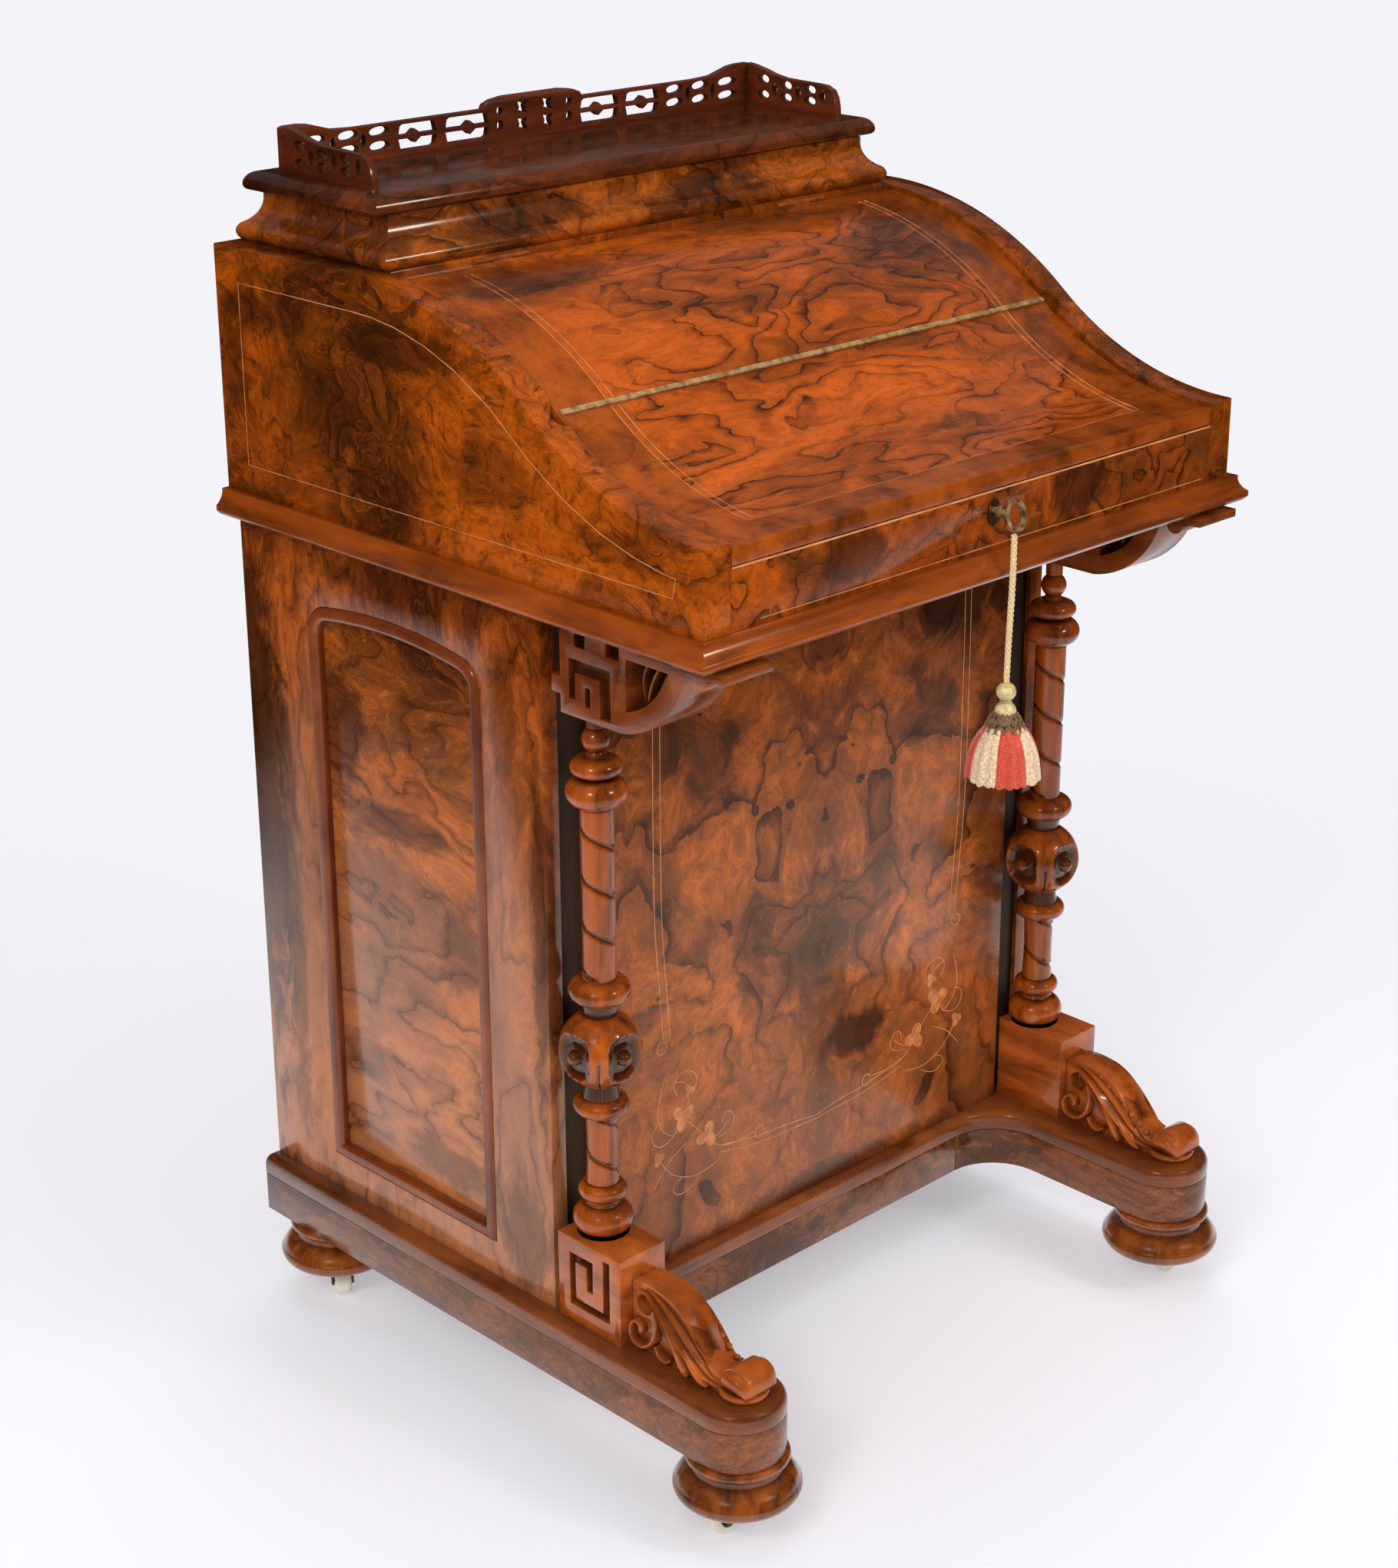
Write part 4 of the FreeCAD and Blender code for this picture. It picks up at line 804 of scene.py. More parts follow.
def solid_bead(middle: float, half: float, out: float) -> list[Flat]:
    """A bead that is closed at both ends, as a turned profile.

    Args:
        middle: its middle height.
        half: half its height.
        out: its radius.

    Returns:
        Its points from the bottom to the top.
    """
    pole = 0.1
    low, high = middle - half, middle + half
    return [(pole, low - pole), *bead(low, high, out, 8), (pole, high + pole)]


def sweep(start: Flat, end: Flat, bulge: float, steps: int = 8) -> list[Flat]:
    """A curved run of a profile from start to end, pushed sideways by bulge at its middle.

    Args:
        start: where it begins.
        end: where it ends.
        bulge: how far the middle stands off the straight line, positive to the right of travel.
        steps: the number of runs.

    Returns:
        The points, both ends included.
    """
    across, up = end[0] - start[0], end[1] - start[1]
    length = math.hypot(across, up)
    side = (up / length, -across / length)
    points = []
    for step in range(steps + 1):
        share = step / steps
        off = bulge * 4 * share * (1 - share)
        points.append((start[0] + across * share + side[0] * off, start[1] + up * share + side[1] * off))
    return points


def oval(centre: Flat, wide: float, high: float, steps: int) -> list[Flat]:
    """The corners of an oval about a centre, from half its width and half its height."""
    turns = [FULL_TURN * step / steps for step in range(steps)]
    return [(centre[0] + wide * math.cos(turn), centre[1] + high * math.sin(turn)) for turn in turns]


def add_line(
    curve: bpy.types.Curve, line: Sequence[Point], kind: str = "NURBS", closed: bool = False
) -> None:
    """Add a line to a curve.

    Args:
        curve: the curve.
        line: its points in millimetres.
        kind: NURBS bends smoothly near the points, POLY keeps its corners.
        closed: whether it closes on itself.
    """
    spline = curve.splines.new(kind)
    spline.points.add(len(line) - 1)
    for spot, place in zip(spline.points, line):
        spot.co = (*(value * MM for value in place), 1.0)
    spline.use_cyclic_u = closed
    if kind == "NURBS":
        spline.order_u = 3
        spline.use_endpoint_u = not closed


def drawn(
    name: str,
    lines: Sequence[Sequence[Point]],
    thick: float,
    closed: bool = False,
    curved: bool = True,
    sides: int = 2,
) -> Piece:
    """Draw round strings through points, as one mesh.

    Args:
        name: the piece's name.
        lines: the points of each string in millimetres.
        thick: the strings' thickness.
        closed: whether each string closes on itself.
        curved: whether a string bends smoothly, or keeps its corners.
        sides: the bevel's resolution.

    Returns:
        The strings.
    """
    curve = bpy.data.curves.new(name, "CURVE")
    curve.dimensions = "3D"
    curve.bevel_depth = thick / 2 * MM
    curve.bevel_resolution = sides
    curve.resolution_u = 6
    curve.use_fill_caps = True
    for line in lines:
        add_line(curve, line, "NURBS" if curved else "POLY", closed)
    piece = linked(name, curve)
    only(piece)
    bpy.ops.object.convert(target="MESH")
    smooth(piece, 60.0)
    return piece


def faired(spine: Sequence[Station], runs: int = 5) -> list[Vector]:
    """Run a Catmull-Rom curve through a limb's stations.

    Args:
        spine: the stations.
        runs: the number of runs between two of them.

    Returns:
        The stations and what lies between them.
    """
    stations = []
    last = len(spine) - 1
    for index in range(last):
        before, here, there, after = (Vector(spine[max(0, min(last, index + k))]) for k in (-1, 0, 1, 2))
        square = 2 * before - 5 * here + 4 * there - after
        cube = 3 * here - before - 3 * there + after
        for t in (run / runs for run in range(runs)):
            stations.append(0.5 * (2 * here + (there - before) * t + square * t**2 + cube * t**3))
    stations.append(Vector(spine[-1]))
    return stations


def carved(name: str, spine: Sequence[Station], across: float, flutes: int = 0, cut: float = 0.0) -> Piece:
    """Carve a rounded limb of a scroll that bends in the Y-Z plane.

    Args:
        name: the piece's name.
        spine: (place along Y, height, half thickness, half width) of its stations in millimetres.
        across: the place of its middle along X.
        flutes: the number of flutes round it.
        cut: the flutes' depth as a share of the limb's size.

    Returns:
        The limb.
    """
    stations = faired(spine)
    sides = 36
    square_sides, square_faces = 0.72, 0.85
    limb = bmesh.new()
    painted_shade = limb.verts.layers.float.new(PAINTED_SHADE)
    rings = []
    for index, station in enumerate(stations):
        ahead = stations[min(index + 1, len(stations) - 1)]
        behind = stations[max(index - 1, 0)]
        travel = Vector((ahead[0] - behind[0], ahead[1] - behind[1])).normalized()
        ring = []
        for angle in (FULL_TURN * side / sides for side in range(sides)):
            wave = cut * (0.5 - 0.5 * math.cos(flutes * angle)) if flutes else 0.0
            swell = 1 - wave
            wide = math.copysign(abs(math.cos(angle)) ** square_sides, math.cos(angle)) * station[3] * swell
            thick = math.copysign(abs(math.sin(angle)) ** square_faces, math.sin(angle)) * station[2] * swell
            place = Vector((across + wide, station[0] - travel.y * thick, station[1] + travel.x * thick))
            corner = limb.verts.new(place * MM)
            # Painted shade: the flutes' troughs are darkened in step with their depth
            corner[painted_shade] = 0.8 * wave / cut if wave else 0.0
            ring.append(corner)
        rings.append(ring)
    for ring, next_ring in zip(rings, rings[1:]):
        for side in range(sides):
            after_side = (side + 1) % sides
            limb.faces.new((ring[side], ring[after_side], next_ring[after_side], next_ring[side]))
    limb.faces.new(rings[0])
    limb.faces.new(rings[-1])
    shape = bpy.data.meshes.new(name)
    limb.to_mesh(shape)
    limb.free()
    piece = linked(name, shape)
    merge_points(piece, outward=True)
    smooth(piece, 50.0)
    return piece


def pierced(
    name: str, outline: Sequence[Flat], holes: Sequence[Sequence[Flat]], thick: float, place: Matrix
) -> Piece:
    """Saw a fretwork board: an outline with holes, of even thickness, edges barely eased.

    Args:
        name: the piece's name.
        outline: its (across, up) corners in millimetres.
        holes: the corners of each hole.
        thick: the board's thickness.
        place: turns the flat drawing, in metres, to its place.

    Returns:
        The board.
    """
    easing = 0.3
    curve = bpy.data.curves.new(name, "CURVE")
    curve.dimensions = "2D"
    curve.fill_mode = "BOTH"
    curve.extrude = (thick / 2 - easing) * MM
    curve.bevel_depth = easing * MM
    curve.bevel_resolution = 1
    for corners in (outline, *holes):
        add_line(curve, [(across, up, 0.0) for across, up in corners], "POLY", closed=True)
    piece = linked(name, curve)
    only(piece)
    bpy.ops.object.convert(target="MESH")
    piece.data.transform(place)
    merge_points(piece, outward=True)
    smooth(piece, 30.0)
    return piece


def joined(name: str, pieces: Sequence[Piece]) -> Piece:
    """Join pieces into one.

    Args:
        name: the joined piece's name.
        pieces: the pieces, the first of which takes up the others.

    Returns:
        The joined piece.
    """
    only(*pieces)
    bpy.ops.object.join()
    pieces[0].name = name
    return pieces[0]


# ---- The studio


@dataclass(frozen=True)
class Lamp:
    """A square soft box: where it hangs and what it faces in metres, its side, and its watts."""

    name: str
    place: Point
    size: float
    power: float
    aim: Point = (0.0, 0.0, 0.45)
    mirrored: bool = False

    def hang(self) -> None:
        """Hang the lamp. The polish shows it only if it is mirrored."""
        data = bpy.data.lights.new(self.name, "AREA")
        data.shape = "SQUARE"
        data.size = self.size
        data.energy = self.power
        lamp = linked(self.name, data)
        lamp.visible_glossy = self.mirrored
        turn = (Vector(self.aim) - Vector(self.place)).to_track_quat("-Z", "Y").to_matrix().to_4x4()
        lamp.matrix_world = Matrix.Translation(Vector(self.place)) @ turn


@dataclass
class Studio:
    """Camera, floor, curtain, room and lamps. The camera's eye is in millimetres, the rest in metres."""

    eye: Point = (-1453.7, -1430.3, 1238.8)
    looks: Point = (0.64937, 0.66570, -0.36776)
    roll: float = -0.15
    lens: float = 66.55
    shift: Flat = (0.0010, -0.0006)
    floor_reach: float = 30.0
    paper: str = "#F4F3F8"
    glow_start: float = 0.5
    glow_full: float = 1.4
    curtain_radius: float = 1.1
    curtain_fade: float = 0.34
    curtain_height: float = 1.1
    curtain_gap: float = 0.002
    horizon_strength: float = 0.9
    room_strength: float = 0.12
    lamps: tuple[Lamp, ...] = (
        Lamp("left_lamp", (-2.6, -1.2, 2.3), 2.4, 69.0),
        Lamp("right_lamp", (0.9, -2.9, 2.3), 2.4, 47.0),
        Lamp("top_lamp", (0.2, 0.3, 3.0), 2.6, 38.0),
        Lamp("back_lamp", (2.0, 2.4, 2.0), 2.6, 34.0, aim=(0.0, 0.3, 0.0)),
        Lamp("left_glint", (-2.3, -0.95, 2.1), 0.42, 14.0, mirrored=True),
        Lamp("right_glint", (0.65, -2.4, 2.1), 0.42, 14.0, mirrored=True),
    )

    def set_camera(self) -> None:
        """Stand the camera at the desk's front left corner, above the lid."""
        data = bpy.data.cameras.new("camera")
        data.lens = self.lens
        data.sensor_width = 36.0
        data.shift_x, data.shift_y = self.shift
        data.clip_start = 0.05
        camera = linked("camera", data)
        turn = Vector(self.looks).to_track_quat("-Z", "Y").to_matrix().to_4x4()
        rolled = turn @ Matrix.Rotation(math.radians(self.roll), 4, "Z")
        camera.matrix_world = Matrix.Translation(Vector(self.eye) * MM) @ rolled
        bpy.context.scene.camera = camera

    def lay_floor(self) -> None:
        """Lay white paper under the desk. It glows with painted light: partly near the desk, which
        lightens the desk's shadow on it, and fully far off, as brightly as it looks near the desk.
        """
        only()
        bpy.ops.mesh.primitive_circle_add(vertices=96, radius=self.floor_reach, fill_type="NGON")
        floor = bpy.context.active_object
        floor.name = "floor"
        material, tree, where = new_material("studio_paper")
        white = linear(self.paper)
        set_shader(tree, {"Base Color": white, "Roughness": 1.0, "Specular IOR Level": 0.0})
        paper = tree.nodes["Principled BSDF"].outputs[0]
        far = add_node(tree, "VectorMath", (where,), 1, operation="LENGTH")
        # Painted light: the paper glows at 0.4 near the desk, lightening its shadow, and fully beyond
        # glow_full
        glow_share = add_node(tree, "MapRange", (far, self.glow_start, self.glow_full, 0.4, 1.0))
        glow = add_node(tree, "Emission", {"Color": white, "Strength": 1.0})
        seen = add_node(tree, "MixShader", (glow_share, paper, glow))
        rays = add_node(tree, "LightPath").node.outputs
        straight = rays["Is Camera Ray"]
        for kind in ("Is Glossy Ray", "Is Transmission Ray"):
            straight = add_node(tree, "Math", (straight, rays[kind]), operation="MAXIMUM")
        both = add_node(tree, "MixShader", (straight, paper, seen))
        tree.links.new(both, tree.nodes["Material Output"].inputs[0])
        dress(floor, material)

    def hang_curtain(self) -> None:
        """Hang a low black curtain round the paper. Only the polish mirrors it: above knee height
        the wood shows its own deep colour, and below it the white paper."""
        only()
        middle = self.curtain_height / 2 + self.curtain_gap
        size = {"radius": self.curtain_radius, "depth": self.curtain_height, "location": (0, 0, middle)}
        bpy.ops.mesh.primitive_cylinder_add(vertices=96, end_fill_type="NOTHING", **size)
        curtain = bpy.context.active_object
        curtain.name = "curtain"
        settle(curtain)
        material, tree, where = new_material("black_cloth")
        set_shader(tree, {"Base Color": linear("#0A0807"), "Roughness": 1.0, "Specular IOR Level": 0.0})
        up = add_node(tree, "SeparateXYZ", (where,), 2)
        woven = add_node(tree, "MapRange", (up, 0.0, self.curtain_fade))
        cloth = tree.nodes["Principled BSDF"].outputs[0]
        both = add_node(tree, "MixShader", (woven, add_node(tree, "BsdfTransparent"), cloth))
        tree.links.new(both, tree.nodes["Material Output"].inputs[0])
        dress(curtain, material)
        for kind in ("camera", "diffuse", "transmission", "volume_scatter", "shadow"):
            setattr(curtain, "visible_" + kind, False)

    def light_world(self) -> None:
        """A room that is pale at the horizon and dim overhead, the same for every ray."""
        world = bpy.data.worlds.new("studio")
        world.use_nodes = True
        bpy.context.scene.world = world
        tree = world.node_tree
        direction = add_node(tree, "TexCoord", out="Generated")
        height = add_node(tree, "SeparateXYZ", (direction,), 2)
        strengths = (self.horizon_strength, self.room_strength)
        strength = add_node(tree, "MapRange", (height, 0.03, 0.22, *strengths))
        feed(tree, tree.nodes["Background"], (linear(self.paper), strength))

    def build(self) -> None:
        """Set up the whole studio."""
        bpy.context.scene.view_settings.view_transform = "Standard"
        self.set_camera()
        self.lay_floor()
        self.hang_curtain()
        self.light_world()
        for lamp in self.lamps:
            lamp.hang()


# ---- Key, cord and tassel


@dataclass
class KeyAndTassel:
    """The key in the frieze, its cord and the tassel."""

    cord_thick: float = 4.8
    route: tuple[Point, ...] = (
        (3.0, -242.0, 678.6),
        (3.7, -241.7, 645.0),
        (2.7, -240.8, 609.0),
        (3.0, -240.0, 573.0),
    )
    strands: int = 3
    twist: float = 11.0
    tassel_centre: Flat = (3.0, -240.0)
    bead_bottom: float = 546.5
    bead_waist: float = 559.0
    bead_top: float = 573.0
    net_strands: int = 14
    net_steps: int = 8
    net_top: float = 552.0
    net_drop: float = 22.0
    net_radius: float = 7.0
    net_flare: float = 11.5
    net_twist: float = 1.2
    skirt_bottom: float = 503.0
    skirt_top: float = 542.0
    skirt_neck: float = 12.0
    skirt_radius: float = 25.5
    coral_start: float = 208.0
    tuft_colours: tuple[int, ...] = (1, 0, 1, 0, 2, 1, 0)
    threads: int = 260
    thread_thick: float = 1.5
    bow_centre: Point = (3.0, -242.0, 692.0)
    bow_ring: Flat = (6.9, 9.8)
    bow_thick: float = 3.6
    lobe_ring: Flat = (7.4, 10.4)
    lobe_turns: tuple[int, ...] = (0, 50, 90, 130, 180, 230, 270, 310)
    lobe_radius: float = 2.2
    collar_radius: float = 4.2
    collar_half: float = 3.5
    collar_behind: float = 13.0

    def centre_line(self) -> list[Vector]:
        """The cord's smooth line, read from its own NURBS spline.

        Returns:
            Its points in metres, from the key's bow to the tassel.
        """
        curve = bpy.data.curves.new("cord_line", "CURVE")
        curve.dimensions = "3D"
        curve.resolution_u = 24
        add_line(curve, self.route)
        guide = bpy.data.objects.new("cord_line", curve)
        line = bpy.data.meshes.new_from_object(guide)
        points = [vertex.co.copy() for vertex in line.vertices]
        bpy.data.objects.remove(guide)
        return points

    def make_cord(self, path: Sequence[Vector], silk: Material) -> Piece:
        """Twist three strands round the cord's line.

        Args:
            path: the cord's line in metres.
            silk: the cord's finish.

        Returns:
            The cord.
        """
        strand_thick = self.cord_thick / 2.05
        swing = (self.cord_thick - strand_thick) / 2 * MM
        lines = []
        for strand in range(self.strands):
            line = []
            gone = 0.0
            for index, spot in enumerate(path):
                if index:
                    gone += (spot - path[index - 1]).length
                angle = FULL_TURN * (strand / self.strands + gone / (self.twist * MM))
                place = spot + Vector((math.cos(angle), math.sin(angle), 0)) * swing
                line.append(tuple(place / MM))
            lines.append(line)
        cord = drawn("key_cord_silk", lines, strand_thick, sides=3)
        return hand_over(cord, "hanging_tassel", silk, ["key_cord"])

    def make_beads(self, ivory: Material) -> Piece:
        """Turn the two beads at the cord's end.

        Args:
            ivory: the beads' finish.

        Returns:
            The beads.
        """
        waist = self.bead_waist
        profile = [(1.0, self.bead_top), *reversed(bead(waist + 1.0, self.bead_top, 7.0)), (4.5, waist + 0.5)]
        profile += [*reversed(bead(self.bead_bottom, waist, 7.5)), (1.0, self.bead_bottom)]
        beads = turned("tassel_beads", profile, self.tassel_centre, 32)
        return hand_over(beads, "hanging_tassel", ivory, ["tassel"])

    def make_net(self, gold: Material) -> Piece:
        """Net the cap between the beads and the skirt: threads that wind both ways down a bell.

        Args:
            gold: the net's finish.

        Returns:
            The net.
        """
        centre_x, centre_y = self.tassel_centre
        lines = []
        for hand in (-1, 1):
            for start in range(self.net_strands):
                line = []
                for share in (step / self.net_steps for step in range(self.net_steps + 1)):
                    radius = self.net_radius + self.net_flare * share**0.9
                    angle = FULL_TURN * start / self.net_strands + hand * share * self.net_twist
                    spot = (centre_x + radius * math.cos(angle), centre_y + radius * math.sin(angle))
                    line.append((*spot, self.net_top - self.net_drop * share**1.2))
                lines.append(line)
        net = drawn("tassel_net", lines, self.thread_thick, sides=1)
        return hand_over(net, "hanging_tassel", gold)

    def make_skirt(self, silks: Sequence[Material]) -> list[Piece]:
        """Hang the flared skirt of threads, each colour over its own tufts. A sine stands in for
        chance, so that the threads' ends are ragged in the same way each time.

        Args:
            silks: the threads' finishes.

        Returns:
            The skirt's pieces.
        """
        centre_x, centre_y = self.tassel_centre
        groups: list[list[list[Point]]] = [[] for _ in silks]
        tufts = len(self.tuft_colours)
        for thread in range(self.threads):
            turn = thread / self.threads
            angle = FULL_TURN * turn + math.radians(self.coral_start)
            tuft = turn * tufts % 1.0
            wave = math.sin(math.pi * tuft) * 1.8 + math.sin(thread * 12.9898) * 0.9
            end = self.skirt_radius - 1.5 + wave
            ragged = math.sin(thread * 78.233) * 1.6
            fall = self.skirt_top - self.skirt_bottom - 2.5 + ragged
            line = []
            for share in (0.0, 0.2, 0.45, 0.7, 1.0):
                flare = math.sin(share * math.pi / 2) ** 0.8
                radius = self.skirt_neck + (end - self.skirt_neck) * flare
                spot = (centre_x + radius * math.cos(angle), centre_y + radius * math.sin(angle))
                line.append((*spot, self.skirt_top - fall * share**1.15))
            groups[self.tuft_colours[int(turn * tufts)]].append(line)
        made = []
        for number, (silk, lines) in enumerate(zip(silks, groups), start=1):
            piece = drawn("tassel_skirt_%d" % number, lines, self.thread_thick, sides=1)
            made.append(hand_over(piece, "hanging_tassel", silk))
        return made

    def make_key(self, brass: Material) -> None:
        """Ease the key's edges and thicken its bow to a rounded ring with lobes.

        Args:
            brass: the key's finish.
        """
        key = softened("key", "key_eased", 0.5)
        across, deep, up = self.bow_centre
        ring = [(across, *spot) for spot in oval((deep, up), *self.bow_ring, 24)]
        pieces = [key, drawn("key_bow", [ring], self.bow_thick, closed=True, sides=3)]
        for turn in self.lobe_turns:
            angle = math.radians(turn)
            place = (across, deep + self.lobe_ring[0] * math.cos(angle))
            lobe = solid_bead(up + self.lobe_ring[1] * math.sin(angle), self.lobe_radius, self.lobe_radius)
            pieces.append(turned("key_lobe", lobe, place, 16))
        collar = turned("key_barrel", solid_bead(0.0, self.collar_half, self.collar_radius), steps=24)
        place = Matrix.Translation(Vector((across, deep + self.collar_behind, up)) * MM)
        collar.data.transform(place @ Matrix.Rotation(math.pi / 2, 4, "X"))
        whole = joined("key_whole", [*pieces, collar])
        hand_over(whole, "turned_key", brass, ["key"])

    def build(self) -> None:
        # Silk is soft and bright along its threads, and the beads are polished bone
        silk = PlainFinish("cream_silk_cord", "#E2C898", "#C09C66", 0.55, sheen=0.4, grain=1.111).make()
        ivory = PlainFinish("ivory_beads", "#D8C795", "#B59A62", 0.3, coat=0.4, grain=5.0).make()
        gold = PlainFinish("gold_net", "#8A6430", "#4A2E12", 0.5, sheen=0.3, grain=1.111).make()
        shades = {
            "cream_threads": ("#EAD2AE", "#B9976E"),
            "coral_threads": ("#D9492A", "#A83018"),
            "gold_threads": ("#C09A55", "#7C5A2C"),
        }
        thread = {"roughness": 0.6, "sheen": 0.5, "grain": 1.429}
        skirt = [PlainFinish(name, *pair, **thread).make() for name, pair in shades.items()]
        path = self.centre_line()
        cord = self.make_cord(path, silk)
        parts = [self.make_beads(ivory), self.make_net(gold), *self.make_skirt(skirt)]
        # Brass that a hand has dulled: grey brown, with only its rounds still bare
        self.make_key(OldMetal("tarnished_brass", "#B49468", "#4A3724", 0.34, bare=0.6).make())


# ---- Plinth, feet and castors


@dataclass
class Plinth:
    """Feet, castors, rails and the moulded ledge."""

    foot_across: float = 241.5
    foot_deep: float = 226.0
    corners: tuple[str, ...] = ("front_left", "front_right", "rear_left", "rear_right")

    def foot_profile(self) -> list[Flat]:
        """A bun foot: a low rim, a rounded shoulder, a dark neck and a ring under the plinth.

        Returns:
            (radius, height) of its rings.
        """
        profile = sweep((37.0, 31.0), (46.0, 38.5), 2.6)
        profile += [(45.6, 41.0)]
        profile += sweep((44.6, 42.0), (35.0, 51.5), 1.6)
        profile += [(33.8, 52.2)]
        profile += sweep((32.6, 52.8), (32.6, 58.6), -0.8, 4)
        return profile + bead(59.0, 65.8, 37.6, 8)

    def make_feet(self, wood: Material) -> None:
        """Turn one foot and set a copy at each corner.

        Args:
            wood: the feet's finish.
        """
        first = turned("bun_foot_1", self.foot_profile())
        copies = [copied(first, "bun_foot_%d" % number, Matrix.Identity(4)) for number in (2, 3, 4)]
        depths = (-self.foot_deep, self.foot_deep)
        places = [(side * self.foot_across, deep, 0.0) for deep in depths for side in (-1, 1)]
        for foot, place in zip([first, *copies], places):
            foot.data.transform(Matrix.Translation(Vector(place) * MM))
            hand_over(foot, "desk", wood, ["bun_feet"] if foot is first else ())

    def make_castors(self, brass: Material, china: Material) -> None:
        """Ease the castors' forks and wheels.

        Args:
            brass: the forks' finish.
            china: the wheels' finish.
        """
        for corner in self.corners:
            fork, wheel = "castor_fork_" + corner, "castor_wheel_" + corner
            refinished(fork, "swivel_" + corner, brass, 0.4, "fork_" + corner)
            refinished(wheel, "roller_" + corner, china, 0.4, "wheel_" + corner)

    def build(self) -> None:
        """Make every piece below the pedestal."""
        # The feet are darker than the rest and wetter: polish has built up on their rounds
        foot_wood = PolishedWalnut("foot_walnut", "#9A4E1C", "#43200C", coat=0.9).make()
        self.make_feet(foot_wood)
        # Glazed china is creamy and mirrors the floor; the forks' brass is nearly black
        china = PlainFinish("white_china", "#F4EEDA", "#E4DAC2", 0.15, coat=0.6, grain=25.0).make()
        brass = OldMetal("dark_castor_brass", "#6E5632", "#2A2014", 0.4).make()
        self.make_castors(brass, china)
        # A cooler, browner burr cut across the rails, with faint lines
        veneer = BurrWalnut(
            "plinth_veneer",
            light="#9C5A34", ground="#7E4420", brown="#4C240E", figure=120.0, stretch=(1, 0.6, 1.4),
            place=(40, 10, 70), mottle=0.7, ink_strength=0.5, wisps=0.45,
        ).make()
        for node in ("plinth_side_left", "plinth_side_right", "plinth_front_rail", "plinth_back_rail"):
            refinished(node, "desk", veneer, 1.0)
        # The ledge's grain runs round it, a little rubbed
        ledge = PolishedWalnut(
            "ledge_walnut", "#8C4A22", "#4A220C", streak=(71.43, 125.0, 16.67), roughness=0.22
        ).make()
        refinished("plinth_cap", "desk", ledge, 0.6)


# ---- Columns, blocks and brackets

# The limbs of the carved scroll on the plinth's left side, as carved() takes them. The leaf is
# fluted, the volute rolls up behind it, and the lobes, the curl and the toe lie along its edge.
SCROLL_LEAF: tuple[Station, ...] = (
    (-135, 160, 3.5, 11),
    (-147, 161, 6.5, 14.5),
    (-160, 156, 10.5, 18),
    (-173, 147, 14, 20.5),
    (-186, 136, 14.5, 20.5),
    (-199, 126.5, 11, 19.5),
    (-211, 120, 6.5, 17),
    (-222, 117.5, 4, 14),
)
SCROLL_EDGES: dict[str, tuple[Station, ...]] = {
    "scroll_volute": (
        (-158, 152, 3.5, 17),
        (-161, 140, 3.4, 18.5),
        (-158, 127, 3.3, 19),
        (-149, 119.5, 3.2, 19),
        (-138.5, 120.5, 3.0, 18.5),
        (-134.8, 129, 2.8, 18),
        (-139, 136, 2.6, 17.5),
        (-145, 135, 3.4, 17.5),
        (-145.5, 130, 3.6, 17.5),
    ),
    "scroll_curl": (
        (-160, 124, 2.2, 17),
        (-165, 118.5, 2.8, 18.5),
        (-172, 117, 2.6, 18.5),
        (-177, 121, 1.8, 18),
    ),
    "scroll_lobe_1": ((-172, 146, 3, 19), (-183, 133, 5.5, 21), (-190, 121, 5, 21), (-193, 115.5, 2.5, 19)),
    "scroll_lobe_2": ((-187, 138, 3, 18), (-199, 126, 5.5, 20.5), (-207, 118.5, 4.5, 20), (-212, 115, 2, 17)),
    "scroll_toe": (
        (-222, 122, 4, 15),
        (-228, 127, 7, 18.5),
        (-236, 129.5, 8, 19.5),
        (-243, 126.5, 7, 18.5),
        (-248, 121, 3.5, 15),
    ),
}
# The split leaf in the hollow of the left bracket's arm, in three ribs
BRACKET_RIBS: dict[str, tuple[Station, ...]] = {
    "bracket_rib_1": (
        (-150, 594, 1.5, 19),
        (-163, 602, 3.2, 21),
        (-174, 613, 3.2, 21),
        (-181, 626, 2.6, 20),
        (-184, 637, 1.5, 18),
    ),
    "bracket_rib_2": (
        (-163, 603, 1.2, 18),
        (-166, 615, 2.4, 19.5),
        (-171, 627, 2.4, 19.5),
        (-178, 637, 1.2, 18),
    ),
    "bracket_rib_3": ((-160, 606, 1.0, 17), (-158, 618, 1.8, 18), (-161, 629, 1.8, 18), (-167, 637, 1.0, 17)),
}


